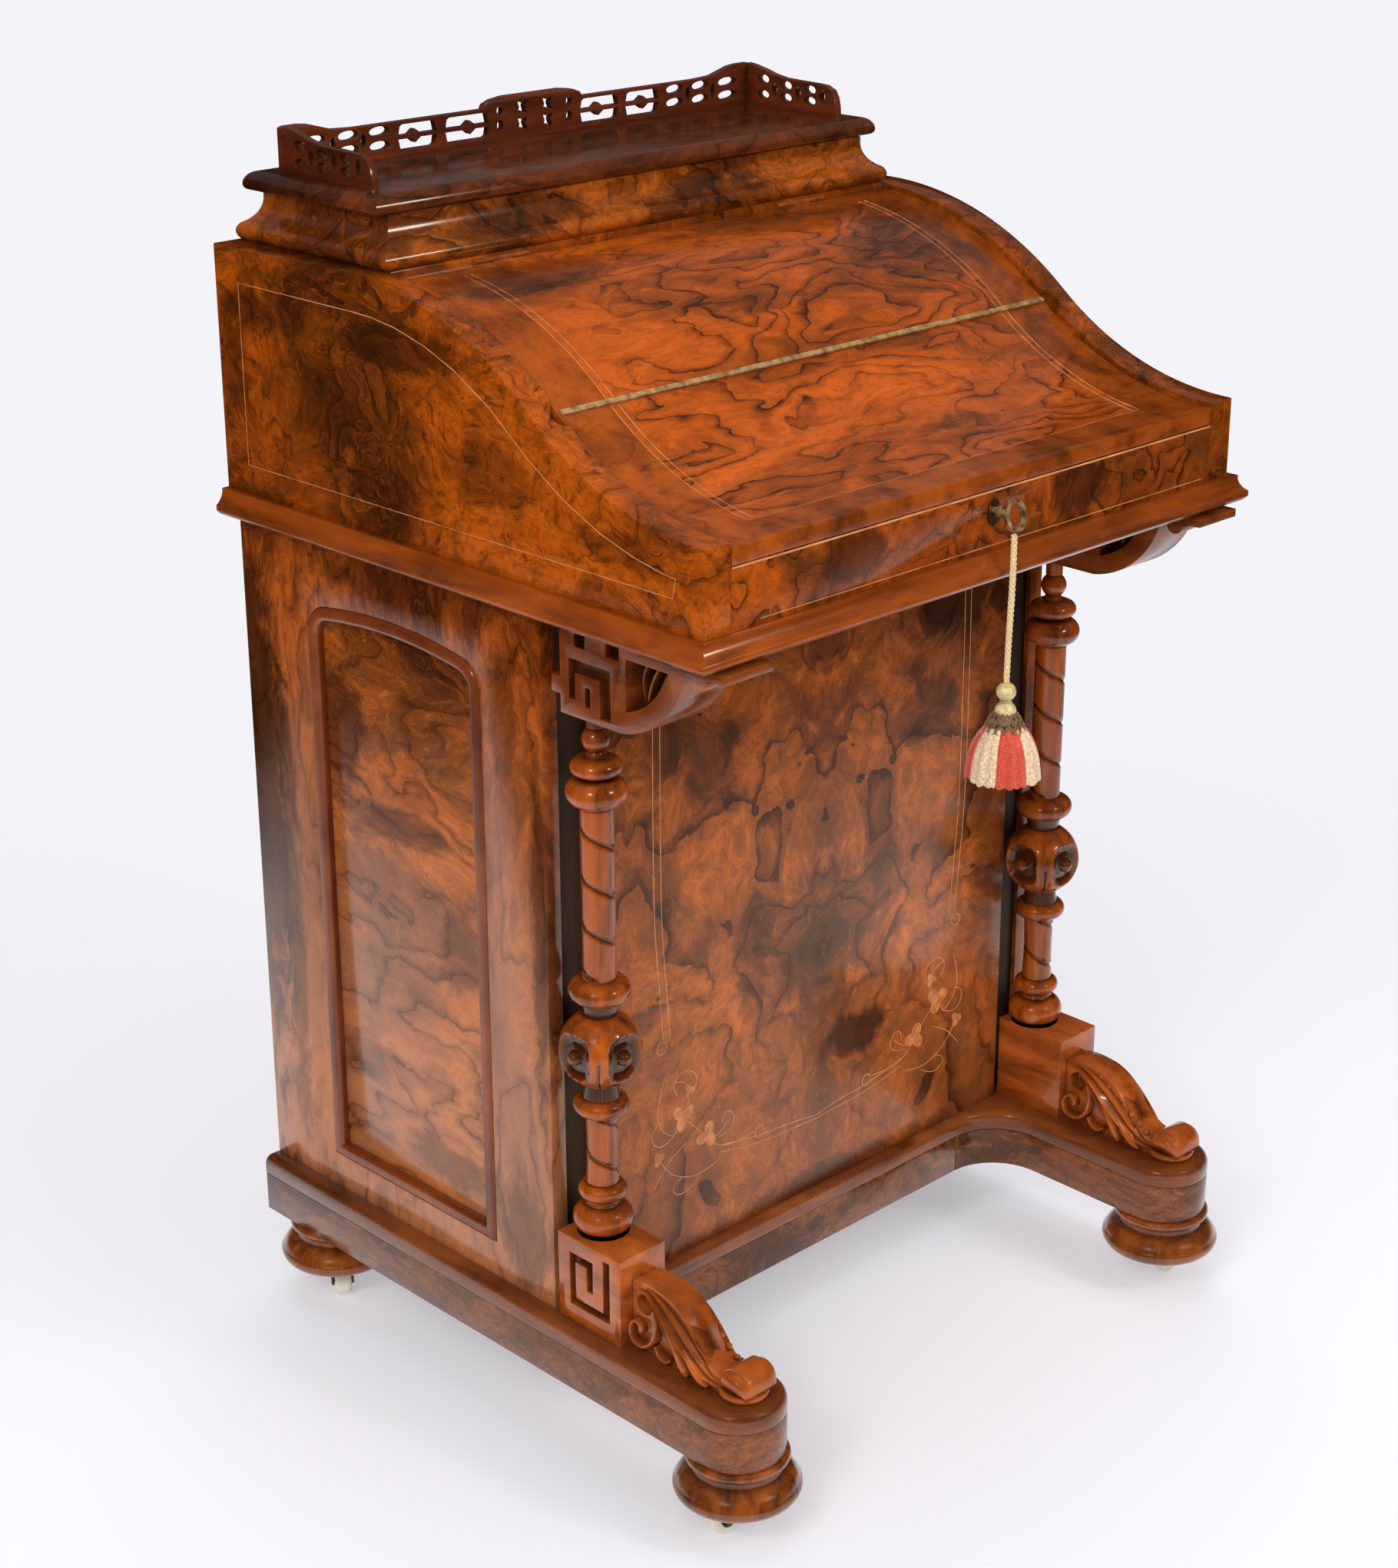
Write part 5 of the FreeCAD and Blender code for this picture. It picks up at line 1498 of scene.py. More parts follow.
@dataclass
class FrontSupports:
    """Columns, key-pattern blocks, brackets and plinth scrolls, each pair alike or mirrored."""

    turned_wood: Material
    across: float = -240.4
    deep: float = -89.3
    core: float = 12.0
    lower_foot: float = 222.5
    lower_long: float = 54.0
    lower_waist: float = 0.8
    ball_middle: float = 327.0
    ball_radius: float = 29.6
    ball_carved: float = 27.5
    groove_pitch: float = 35.0
    groove_wide: float = 3.2
    groove_deep: float = 1.3
    shaft_low: float = 381.0
    shaft_high: float = 508.0
    knob_middle: float = 556.0
    knob_radius: float = 9.8
    window_tall: float = 35.0
    window_wide: float = 30.0
    window_flare: float = 8.0
    window_deep: float = 6.4
    boss_reach: float = 13.0
    boss_high: float = 6.2
    seam_half: float = 1.8
    seam_deep: float = 1.4
    scroll_across: float = -241.5
    bracket_across: float = -243.3

    def column_profile(self) -> list[Flat]:
        """The column's rings, shafts, ball and knob, from the block up.

        Returns:
            (radius, height) of its rings.
        """
        core, foot, long = self.core, self.lower_foot, self.lower_long
        profile = [(19.0, 183.0), *bead(183.0, 205.0, 21.9, 12)]
        profile += sweep((13.0, 205.5), (12.5, 209.5), -1.0, 4)
        profile += [*bead(210.0, 222.0, 17.7), (core, foot)]
        lower = [foot + long * step / 40 for step in range(1, 41)]
        profile += [(core - self.lower_waist * math.sin(math.pi * (z - foot) / long), z) for z in lower]
        profile += bead(277.0, 290.0, 20.2)
        reach = math.sqrt(self.ball_radius**2 - core**2)
        levels = [-reach + 2 * reach * step / 64 for step in range(65)]
        profile += [(math.sqrt(self.ball_radius**2 - up**2), self.ball_middle + up) for up in levels]
        profile += bead(364.0, 380.0, 22.2, 12)
        rings = 84
        tall = self.shaft_high - self.shaft_low
        profile += [(core, self.shaft_low + tall * step / rings) for step in range(rings + 1)]
        profile += [*bead(509.0, 529.0, 21.6, 12), (9.0, 529.5), (9.0, 530.5)]
        profile += [*bead(531.0, 543.0, 18.2), (7.0, 543.5), (6.5, 547.0)]
        for angle in (math.radians(-55 + 110 * step / 12) for step in range(13)):
            spot = (self.knob_radius * math.cos(angle), self.knob_middle + self.knob_radius * math.sin(angle))
            profile.append(spot)
        return profile + [(6.5, 565.0), (6.5, 580.0)]

    def shaft_cut(self, spot: Vector) -> Flat:
        """How deep the spiral groove cuts a point of a shaft, and how dark its painted shade is there.

        Args:
            spot: the point about the column's axis, in millimetres.

        Returns:
            The cut in millimetres and the painted shade from 0 to 1.
        """
        turn = math.atan2(spot.y, spot.x) / FULL_TURN
        phase = (spot.z + turn * self.groove_pitch) % self.groove_pitch
        off = abs(phase - self.groove_pitch / 2) / (self.groove_wide / 2)
        share = max(0.0, 1 - (off / 1.5) ** 2)
        return self.groove_deep * share, min(0.85, share * 1.1)

    def ball_cut(self, spot: Vector) -> Flat:
        """How deep the ball is cut at a point: four windows with a boss in each, and thin seams
        down the ribs between them.

        Args:
            spot: the point about the ball's middle, in millimetres.

        Returns:
            The cut in millimetres and the painted shade from 0 to 1.
        """
        turn = math.degrees(math.atan2(spot.y, spot.x)) + 360
        from_face = (turn + 45) % 90 - 45
        tilt = math.degrees(math.asin(max(-1.0, min(1.0, spot.z / spot.length))))
        wide = self.window_wide + self.window_flare * (tilt / 34.0) ** 2
        corner = 2.6
        far = (abs(from_face / wide) ** corner + abs(tilt / self.window_tall) ** corner) ** (1 / corner)
        if far < 1:
            # Painted shade: the windows are darkest deep inside, the bosses in them a little lighter
            deep = self.window_deep * min(1.0, (1 - far) / 0.2) ** 0.7
            boss = math.hypot(from_face, tilt) / self.boss_reach
            if boss < 1:
                return deep - self.boss_high * math.sqrt(1 - boss**2), 0.35 + 0.5 * boss
            return deep, min(0.95, 0.55 + (1 - far) * 3)
        seam = abs(turn % 90 - 45) / self.seam_half
        return (self.seam_deep * (1 - seam), 0.7) if seam < 1 and tilt < 0 else (0.0, 0.0)

    def make_columns(self) -> None:
        """Turn and carve one column and copy it to the other side."""
        left = turned("column_left_turned", self.column_profile(), steps=112)
        painted_shade = left.data.attributes.new(PAINTED_SHADE, "FLOAT", "POINT")
        lower_low, lower_high = self.lower_foot + 1.0, self.lower_foot + self.lower_long - 0.5
        for vertex in left.data.vertices:
            spot = vertex.co / MM
            on_shaft = self.shaft_low < spot.z < self.shaft_high or lower_low < spot.z < lower_high
            if not on_shaft and abs(spot.z - self.ball_middle) >= self.ball_carved:
                continue
            arm = spot - Vector((0, 0, spot.z if on_shaft else self.ball_middle))
            deep, dark = self.shaft_cut(spot) if on_shaft else self.ball_cut(arm)
            vertex.co = (spot - arm.normalized() * deep) * MM
            # The cut's painted shade, darkening the grooves, the ball's windows and its seams
            painted_shade.data[vertex.index].value = dark
        smooth(left, 50.0)
        places = [Matrix.Translation(Vector((side * self.across, self.deep, 0)) * MM) for side in (1, -1)]
        right = copied(left, "column_right_turned", places[1])
        left.data.transform(places[0])
        self.hand_over_pair(left, right, "column", self.turned_wood)

    def hand_over_pair(self, left: Piece, right: Piece, node: str, wood: Material) -> None:
        """Hand over a left and a right piece for the two CAD nodes whose names start alike."""
        for piece, side in ((left, "left"), (right, "right")):
            hand_over(piece, "desk", wood, [node + "_" + side])

    def make_scrolls(self, wood: Material) -> None:
        """Carve the leaf scroll on the plinth and mirror it.

        Args:
            wood: the carving's finish.
        """
        across = self.scroll_across
        web = softened("plinth_scroll_left", "scroll_web")
        middle = Matrix.Translation((across * MM, 0, 0))
        thinner = Matrix.Diagonal((0.6, 0.985, 0.985, 1))
        web.data.transform(middle @ thinner @ middle.inverted())
        web.data.transform(Matrix.Translation(Vector((0, -2.6, 1.7)) * MM))
        limbs = [carved("scroll_leaf", SCROLL_LEAF, across, flutes=10, cut=0.17)]
        limbs += [carved(name, spine, across) for name, spine in SCROLL_EDGES.items()]
        beads = 7
        for step in range(beads):
            share = step / (beads - 1)
            deep = -168.0 - 47.0 * share
            up = 161.5 - 33.0 * share
            spine = [(deep + 2, up + 1.6, 0.8, 1), (deep, up, 2.4, 2.6), (deep - 2, up - 1.6, 0.8, 1)]
            limbs.append(carved("scroll_bead_%d" % step, spine, across + 10.5))
        profile = [(14.0, 113.0), *bead(113.0, 119.0, 18.0, 8), (13.0, 119.2)]
        pad = turned("scroll_pad", profile, (across, -232.0), 48)
        left = joined("scroll_left_carved", [web, *limbs, pad])
        self.hand_over_pair(left, copied(left, "scroll_right_carved", MIRROR_X), "plinth_scroll", wood)

    def make_brackets(self, wood: Material) -> None:
        """Ease the brackets and carve the split leaf in the hollow of each arm.

        Args:
            wood: the carving's finish.
        """
        arm = softened("bracket_left", "bracket_eased", 0.7)
        ribs = [carved(name, spine, self.bracket_across) for name, spine in BRACKET_RIBS.items()]
        left = joined("bracket_left_carved", [arm, *ribs])
        self.hand_over_pair(left, copied(left, "bracket_right_carved", MIRROR_X), "bracket", wood)

    def build(self) -> None:
        """Make every piece in front of the knee space."""
        self.make_columns()
        # Carved walnut is glossy on its crests and nearly black in its cuts, with painted shade;
        # the brackets hang in the case's shade, which is painted into a darker copy of the wood
        streak = (33.33, 83.33, 20.0)
        leaf_wood = PolishedWalnut("carved_walnut", "#BE5F22", "#74340F", streak=streak, coat=0.75).make()
        shaded_bracket_wood = PolishedWalnut("shaded_bracket_walnut", "#94481C", "#50240E", "#1E0C04", streak).make()
        self.make_brackets(shaded_bracket_wood)
        self.make_scrolls(leaf_wood)
        for side in ("left", "right"):
            refinished("base_block_" + side, "desk", leaf_wood, 0.7)


# ---- Pedestal

# Tendrils of the knee panel's right half, as (across, up) points; the left half mirrors them
TENDRILS: tuple[tuple[Flat, ...], ...] = (
    ((150, 258), (137, 256), (132, 240), (141, 226), (150, 214)),
    ((141, 226), (128, 214), (116, 201), (104, 196), (92, 207)),
    ((116, 201), (106, 188), (84, 184), (66, 186)),
    ((137, 204), (150, 198), (160, 190), (170, 178)),
    ((166, 201), (160, 192), (150, 180), (124, 170), (106, 176)),
    ((160, 262), (168, 240), (162, 220), (150, 214)),
    ((132, 240), (124, 250), (130, 262), (144, 264), (152, 254), (146, 246)),
    ((104, 196), (94, 196), (86, 204), (90, 214), (100, 214), (100, 206)),
    ((150, 214), (160, 208), (172, 214), (172, 228), (162, 230)),
    ((124, 170), (136, 162), (150, 164), (152, 174), (142, 176)),
)


@dataclass
class Pedestal:
    """The framed side, the knee panel with its marquetry, the drawers and the boards behind."""

    turned_wood: Material
    boxwood: Material
    lining: Material
    knee_face: float = -68.0
    drawers: int = 4
    knob_radius: float = 13.0
    front_thick: float = 3.0
    string_thick: float = 1.1
    vein_thick: float = 0.9
    sunk: float = 0.4
    leaf_proud: float = 0.1
    string_gap: float = 7.0
    garland_gap: float = 6.0
    ring_radius: float = 5.0
    rings: tuple[Flat, ...] = ((-161.5, 290), (161.5, 290), (-60, 184), (60, 184), (0, 634))
    leaves: tuple[Station, ...] = (
        (141, 227, 12.0, 0.3),
        (116, 202, 11.5, 1.2),
        (166, 201, 6.0, 2.2),
        (134, 246, 6.0, 0.0),
    )

    def make_side(self) -> None:
        """The arched panel, its frame and its bead."""
        # Straight-grained stiles, dark at their edges, with a painted reflection of the floor low down
        frame_veneer = BurrWalnut(
            "stile_veneer",
            light="#BE6020", ground="#A04C12", brown="#63290A", figure=170.0, bands=4.0,
            stretch=(1, 1.6, 0.7), place=(15, 90, 20), mottle=0.6, ink_strength=0.4, wisps=0.45, floor_reflection=0.5,
            patches=(
                Patch((-262, 262, 430), (30, 42, 300), 0.8),
                Patch((-262, 232, 330), (30, 16, 260), 0.5),
                Patch((-262, -54, 400), (30, 15, 170), 0.7),
                Patch((-262, -30, 160), (30, 34, 60), 0.55),
                Patch((-262, -20, 560), (30, 22, 70), 0.45),
                Patch((-262, 100, 622), (30, 120, 16), 0.4),
            ),
        ).make()
        # The brightest burr, orange and busy, set back in its arch, with a painted reflection of the floor
        # low down
        panel_veneer = BurrWalnut(
            "arched_panel_veneer",
            light="#CE6618", ground="#B4560E", brown="#70340C", figure=185.0, bands=4.6,
            stretch=(1, 0.75, 1.35), place=(0, 130, 60), mottle=0.7, ink_strength=0.45, wisps=0.6, floor_reflection=0.45,
            patches=(
                Patch((-256, 170, 500), (30, 34, 70), 0.7),
                Patch((-256, 110, 440), (30, 80, 20), 0.6),
                Patch((-256, 40, 360), (30, 34, 50), 0.5),
                Patch((-256, 60, 180), (30, 70, 26), 0.55),
                Patch((-256, 160, 240), (30, 40, 24), 0.45),
            ),
        ).make()
        refinished("side_frame_left", "desk", frame_veneer)
        refinished("side_panel_left", "desk", panel_veneer, 0.3)
        # The grain runs round the arch, and a high gloss draws one bright line along it
        bead_wood = PolishedWalnut(
            "arch_bead_walnut", "#8E4319", "#4A1C0A", streak=(25.0, 125.0, 125.0), roughness=0.18
        ).make()
        refinished("arch_moulding_left", "desk", bead_wood, 0.5, "arch_bead")

    def make_knee_panel(self) -> None:
        """The book-matched burr panel."""
        # Hazier than the case, for its polish has worn, with big clouds that mirror at the middle;
        # painted shade darkens its top under the case and its foot over the rail, and a faint
        # painted reflection of the floor pales it low down
        veneer = BurrWalnut(
            "knee_panel_veneer",
            light="#CC6C26", ground="#AA5214", brown="#62300E", ink="#241008", figure=230.0, bands=4.5,
            stretch=(1.0, 1.0, 0.9), place=(0, 0, 35), folded_at=8.0, mottle=0.7, wisps=0.5, floor_reflection=0.12,
            line_width=0.22, roughness=0.3, coat=0.22,
            patches=(
                # Painted shade: these two clouds darken the panel's top, under the overhang of the case
                Patch((-60, -68, 590), (150, 40, 34), 0.75),
                Patch((150, -68, 570), (80, 40, 60), 0.85),
                Patch((205, -68, 380), (34, 40, 190), 0.55),
                Patch((-110, -68, 500), (42, 40, 44), 0.5),
                Patch((-70, -68, 330), (26, 40, 70), 0.5),
                Patch((70, -68, 400), (30, 40, 60), 0.45),
                Patch((44, -68, 232), (46, 40, 26), 0.85),
                Patch((-150, -68, 545), (40, 40, 60), 0.6),
                Patch((120, -68, 480), (60, 40, 36), 0.55),
                Patch((-20, -68, 300), (40, 40, 30), 0.4),
                # Painted shade: a band along the panel's foot, over the rail
                Patch((0, -68, 112), (260, 40, 22), 0.6),
            ),
        ).make()
        refinished("knee_panel", "desk", veneer, 0.4)

    def make_drawers(self) -> None:
        """Drawer boxes with veneered fronts, and their turned knobs."""
        # The fronts' burr runs on from drawer to drawer
        veneer = BurrWalnut(
            "drawer_veneer",
            light="#B8591A", ground="#9C490C", brown="#6A300A", figure=150.0, stretch=(1, 0.7, 1.2),
            place=(0, 20, 200), mottle=0.6,
        ).make()
        knob = turned("drawer_knob", self.knob_profile(), steps=48)
        for number in range(1, self.drawers + 1):
            node = "drawer_%d" % number
            box = softened(node, node + "_eased", 0.5)
            dress(box, veneer, self.lining)
            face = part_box(node)[1].x - self.front_thick * MM
            for polygon in box.data.polygons:
                polygon.material_index = 0 if polygon.center.x > face else 1
            hand_over(box, "sliding_drawer_%d" % number, None, [node])
            self.fit_knobs(knob, number)
        bpy.data.objects.remove(knob)

    def knob_profile(self) -> list[Flat]:
        """A turned knob standing along Z from its seat.

        Returns:
            (radius, height) of its rings.
        """
        profile = [(8.0, 0.0), (8.0, 1.8), (7.2, 2.5)]
        profile += sweep((6.6, 3.0), (5.6, 8.5), -1.0, 6)
        profile += sweep((6.4, 9.0), (self.knob_radius, 16.0), 1.6)
        return profile + [(12.4, 17.6), (10.8, 19.3), (8.4, 21.0), (5.4, 22.3), (2.2, 22.9), (0.4, 23.0)]

    def fit_knobs(self, knob: Piece, number: int) -> None:
        """Fit a pair of knobs to one drawer.

        Args:
            knob: the knob to copy.
            number: which drawer.
        """
        node = "drawer_knobs_%d" % number
        low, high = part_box(node)
        seat = Matrix.Rotation(math.pi / 2, 4, "Y")
        radius = self.knob_radius * MM
        pair = []
        for side, deep in (("front", low.y + radius), ("back", high.y - radius)):
            place = Vector((low.x, deep, (low.z + high.z) / 2))
            pair.append(copied(knob, "knob_%d_%s" % (number, side), Matrix.Translation(place) @ seat))
        both = joined("drawer_knobs_%d_turned" % number, pair)
        hand_over(both, "sliding_drawer_%d" % number, self.turned_wood, [node])

    def strings_of(self, hand: int) -> list[list[Flat]]:
        """One half of the knee panel's strings, tendrils and garland.

        Args:
            hand: -1 for the left half, 1 for the right.

        Returns:
            (across, up) points of each.
        """
        strokes: list[list[Flat]] = []
        for inset in (0.0, self.string_gap):
            top = [(70, 634), (120, 633), (152, 626)]
            stroke = [(hand * (across - inset), up - inset) for across, up in top]
            stroke.append((hand * (166 - inset), 608 - inset * 0.6))
            side = [(168, 560), (168.5, 470), (168, 385), (163, 335), (160, 297)]
            strokes.append(stroke + [(hand * (across - inset), up) for across, up in side])
        strokes += [[(hand * across, up) for across, up in tendril] for tendril in TENDRILS]
        for drop in (0.0, self.garland_gap):
            garland = [(hand * across, up + drop) for across, up in ((100, 182), (62, 174), (26, 173))]
            strokes.append([*garland, (2.6, 171.6 + drop / 2)])
        return strokes

    def make_marquetry(self) -> None:
        """Strings, rings, tendrils, a garland and ivy leaves inlaid in the knee panel."""
        deep = self.knee_face + self.sunk
        strokes = self.strings_of(-1) + self.strings_of(1)
        lines = [[(across, deep, up) for across, up in stroke] for stroke in strokes]
        strings = drawn("knee_strings", lines, self.string_thick)
        circles = [oval(centre, self.ring_radius, self.ring_radius, 12) for centre in self.rings]
        circles = [[(across, deep, up) for across, up in circle] for circle in circles]
        rings = drawn("knee_rings", circles, self.string_thick, closed=True)
        leaves, edges = self.make_leaves()
        inlay = joined("knee_marquetry", [strings, rings, edges])
        hand_over(inlay, "desk", self.boxwood)
        # Leaves cut from a lighter wood and scorched at random in hot sand
        scorched = PlainFinish("stained_leaf_veneer", "#D07E38", "#A85A24", 0.3, coat=0.3, grain=8.333)
        hand_over(leaves, "desk", scorched.make())

    def make_leaves(self) -> tuple[Piece, Piece]:
        """Three-lobed ivy leaves, cut as thin veneer, with a pale line round each and veins.

        Returns:
            The leaves and the lines of both sides.
        """
        made = []
        edges = []
        deep = self.knee_face - self.leaf_proud / 2
        for hand in (-1, 1):
            for across, up, size, lean in self.leaves:
                middle = (hand * across, up)
                outline = []
                for turn in (FULL_TURN * step / 48 for step in range(48)):
                    reach = size * (0.42 + 0.58 * abs(math.cos(1.5 * turn)) ** 1.4)
                    tip = (reach * math.cos(turn + lean), reach * math.sin(turn + lean))
                    outline.append((middle[0] + tip[0], middle[1] + tip[1]))
                made.append(self.cut_leaf(outline))
                edges.append([(side, deep, high) for side, high in outline])
                stalk = (middle[0], deep, up)
                for turn in (lean + FULL_TURN * step / 3 for step in range(3)):
                    vein = 0.7 * size
                    tip = (middle[0] + vein * math.cos(turn), deep, up + vein * math.sin(turn))
                    edges.append([stalk, tip, stalk])
        lines = drawn("leaf_lines", edges, self.vein_thick, closed=True, curved=False, sides=1)
        return joined("knee_leaves", made), lines

    def cut_leaf(self, outline: Sequence[Flat]) -> Piece:
        """Cut one flat leaf that stands a hair proud of the panel.

        Args:
            outline: its (across, up) outline in millimetres.

        Returns:
            The leaf.
        """
        shape = bmesh.new()
        deep = self.knee_face - self.leaf_proud
        corners = [shape.verts.new((across * MM, deep * MM, up * MM)) for across, up in outline]
        face = shape.faces.new(corners)
        face.normal_update()
        if face.normal.y > 0:
            face.normal_flip()
        sheet = bpy.data.meshes.new("leaf")
        shape.to_mesh(sheet)
        shape.free()
        return linked("leaf", sheet)

    def build(self) -> None:
        """Make the pedestal."""
        self.make_side()
        self.make_knee_panel()
        self.make_marquetry()
        self.make_drawers()
        # A plainer veneer than the front's, for the sides that stand against a wall
        plain = BurrWalnut(
            "pedestal_veneer",
            light="#AE5618", ground="#8E420E", brown="#5A2608", figure=160.0, bands=4.0,
            stretch=(1, 1.3, 0.6), place=(55, 5, 45),
        ).make()
        for node in ("drawer_frame_right", "pedestal_back"):
            refinished(node, "desk", plain, 0.6)
        # The carcase behind the columns is made nearly black as painted shade for the recess there, so that
        # it doesn't show
        dark = PolishedWalnut(
            "shaded_walnut", "#2A140A", "#140803", streak=(33.33, 33.33, 200.0), roughness=0.5, coat=0.0
        ).make()
        dress(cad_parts["carcase_front"], dark)
        dress(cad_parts["drawer_runners"], self.lining)


# ---- Desk case


@dataclass
class DeskCase:
    """Cheeks, frieze, writing lid and mouldings, with the ogee line that they share."""

    boxwood: Material
    brass: Material
    lining: Material
    iron: Material
    case_half: float = 270.0
    case_front: float = -222.5
    case_top: float = 841.5
    front_top: float = 722.0
    ogee_start: float = 115.0
    upper_radius: float = 282.0
    inlay_sunk: float = 0.25
    string_thick: float = 0.9
    cheek_inset: float = 25.0
    cheek_corners: tuple[Flat, ...] = ((245.0, 817.0), (245.0, 685.0), (-195.0, 685.0))
    cheek_run: tuple[float, ...] = (-198, -185, -160, -130, -95, -60, -25, 10, 40, 70, 95, 115, 130)
    frieze_low: Point = (-220.0, 238.0, 667.0)
    frieze_top: Point = (-245.0, 245.0, 705.0)
    frieze_top_thick: float = 1.6
    lid_sink: float = 3.5
    lid_string_thick: float = 0.7
    lid_border: Border = Border(200.5, -192.0)
    lid_inner: float = 194.0
    lid_string: Flat = (-190.0, 270.0)

    def ogee(self, deep: float, sink: float = 0.0) -> float:
        """The height of the serpentine line above a place along Y, sunk by a distance.

        Args:
            deep: the place along Y.
            sink: how far the line is sunk along its normal.

        Returns:
            The height in millimetres.
        """
        run = self.ogee_start - self.case_front
        drop = self.case_top - self.front_top
        turn = 2 * math.atan(drop / run)
        lower = run / math.sin(turn) - self.upper_radius
        upper_centre = self.case_top - self.upper_radius
        lower_centre = self.front_top + lower
        upper = self.upper_radius - sink
        changes = self.ogee_start - upper * math.sin(turn)
        if deep >= self.ogee_start:
            return self.case_top - sink
        if deep >= changes:
            return upper_centre + math.sqrt(upper**2 - (self.ogee_start - deep) ** 2)
        lower += sink
        return lower_centre - math.sqrt(lower**2 - (deep - self.case_front) ** 2)

    def make_cheeks(self) -> None:
        """The veneered cheeks and their inlaid strings."""
        for side, hand in (("left", -1), ("right", 1)):
            # Deep brown clouds over an orange ground, with hardly a straight line
            veneer = BurrWalnut(
                "cheek_veneer_" + side,
                light="#C05A10", ground="#A64A08", brown="#6A3006", ink="#2A1204", figure=180.0, bands=3.6,
                stretch=(1, 0.9, 1.1), place=(hand * 70, 35, 10), mottle=0.7, ink_strength=0.55, wisps=0.7,
                patches=(
                    Patch((hand * 270, 60, 800), (40, 90, 22), 0.75),
                    Patch((hand * 270, 150, 745), (40, 50, 34), 0.45),
                    Patch((hand * 270, -20, 730), (40, 70, 30), 0.5),
                    Patch((hand * 270, -150, 705), (40, 50, 18), 0.45),
                    Patch((hand * 270, 262, 760), (40, 26, 60), 0.5),
                    Patch((hand * 270, 215, 800), (40, 60, 22), 0.6),
                    Patch((hand * 270, 235, 655), (40, 60, 26), 0.6),
                    Patch((hand * 270, -140, 662), (40, 60, 14), 0.4),
                ),
            ).make()
            refinished("cheek_" + side, "desk", veneer)
            outer = hand * (self.case_half - self.inlay_sunk)
            curve = [(deep, self.ogee(deep, self.cheek_inset)) for deep in self.cheek_run]
            line = [(outer, deep, up) for deep, up in (*self.cheek_corners, *curve)]
            string = drawn("cheek_string_" + side, [line], self.string_thick, closed=True, curved=False)
            hand_over(string, "desk", self.boxwood)

    def make_frieze(self) -> None:
        """The front board and its strings."""
        # Small swirls with two dark clouds, one each side of the key
        veneer = BurrWalnut(
            "frieze_veneer",
            light="#C4580E", ground="#96420A", brown="#6A3210", ink="#2E1408", figure=110.0, bands=4.0,
            place=(25, 0, 15), mottle=0.6,
            patches=(
                Patch((-135, -222, 690), (42, 30, 30), 0.75),
                Patch((-60, -222, 680), (60, 30, 30), 0.35),
                Patch((95, -222, 690), (48, 30, 34), 0.8),
                Patch((160, -222, 680), (24, 30, 30), 0.4),
            ),
        ).make()
        refinished("frieze", "desk", veneer, 0.5)
        deep = self.case_front + self.inlay_sunk
        strings = []
        rows = (("low", self.frieze_low, self.string_thick), ("top", self.frieze_top, self.frieze_top_thick))
        for name, (start, end, up), thick in rows:
            line = [(start, deep, up), (end, deep, up)]
            strings.append(drawn("frieze_string_" + name, [line], thick, curved=False))
        hand_over(joined("frieze_strings", strings), "desk", self.boxwood)

    def make_lid(self) -> None:
        """The serpentine lid, its darker border, its strings and its pen rest."""
        # The hottest orange of the desk, its lines drawn out from side to side
        veneer = BurrWalnut(
            "lid_veneer",
            light="#C85A16", ground="#A84A0C", brown="#6E320E", ink="#241006", figure=190.0, bands=6.6,
            stretch=(0.6, 1.4, 1.4), place=(10, 60, 120), mottle=0.5, darkness=0.43,
            patches=(
                Patch((-150, 60, 835), (90, 40, 40), 0.6),
                Patch((120, 70, 835), (110, 30, 40), 0.5),
                Patch((-40, -60, 760), (120, 26, 60), 0.35),
            ),
            border=self.lid_border,
        ).make()
        refinished("writing_lid", "lid", veneer, 0.6)
        side, front = self.lid_border.side, self.lid_border.front
        start, long = self.lid_string
        lines = []
        for hand in (-1, 1):
            for across in (side, self.lid_inner):
                depths = [start + long * step / 25 for step in range(26)]
                lines.append([(hand * across, deep, self.on_lid(deep)) for deep in depths])
        lines.append([(-side, front, self.on_lid(front)), (side, front, self.on_lid(front))])
        strings = drawn("lid_strings", lines, self.lid_string_thick)
        hand_over(strings, "lid", self.boxwood)
        # Brass worn by pens: more warm film than bare metal
        worn = OldMetal("worn_brass_strip", "#C9A06A", "#8A6440", 0.35, bare=0.45).make()
        refinished("pen_rest", "lid", worn, 0.6, segments=3)

    def on_lid(self, deep: float) -> float:
        """The height of a string let into the lid above a place along Y."""
        return self.ogee(deep, self.lid_sink) - self.inlay_sunk

    def build(self) -> None:
        """Make the case and its lid."""
        self.make_cheeks()
        self.make_frieze()
        self.make_lid()
        # Upright streaks under a rubbed polish: the moulding is quieter than the burr beside it
        moulding_wood = PolishedWalnut(
            "moulding_walnut", "#A04A12", "#642A08", streak=(100.0, 100.0, 16.67), roughness=0.22
        ).make()
        refinished("case_moulding", "desk", moulding_wood, 0.5)
        # The common burr, for a back that faces the wall
        back_veneer = BurrWalnut("case_back_veneer", figure=170.0, place=(90, 0, 0)).make()
        refinished("case_back", "desk", back_veneer, 0.5)
        refinished("hinge_rail", "desk", back_veneer, 0.5)
        # The hinges have been varnished over with the wood, so they are brown and a little glossy
        varnished = PlainFinish("varnished_hinges", "#8A4518", "#5E2C0E", 0.35, coat=0.3, grain=12.5).make()
        finishes = {
            "case_bottom": self.lining,
            "escutcheon": self.brass,
            "hinge_leaves_fixed": varnished,
            "lid_hinge_leaves": varnished,
            "box_hinge_leaves": varnished,
            "lock_case": self.iron,
            "lock_bolt": self.iron,
        }
        for node, finish in finishes.items():
            dress(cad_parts[node], finish)


# ---- Stationery box and gallery


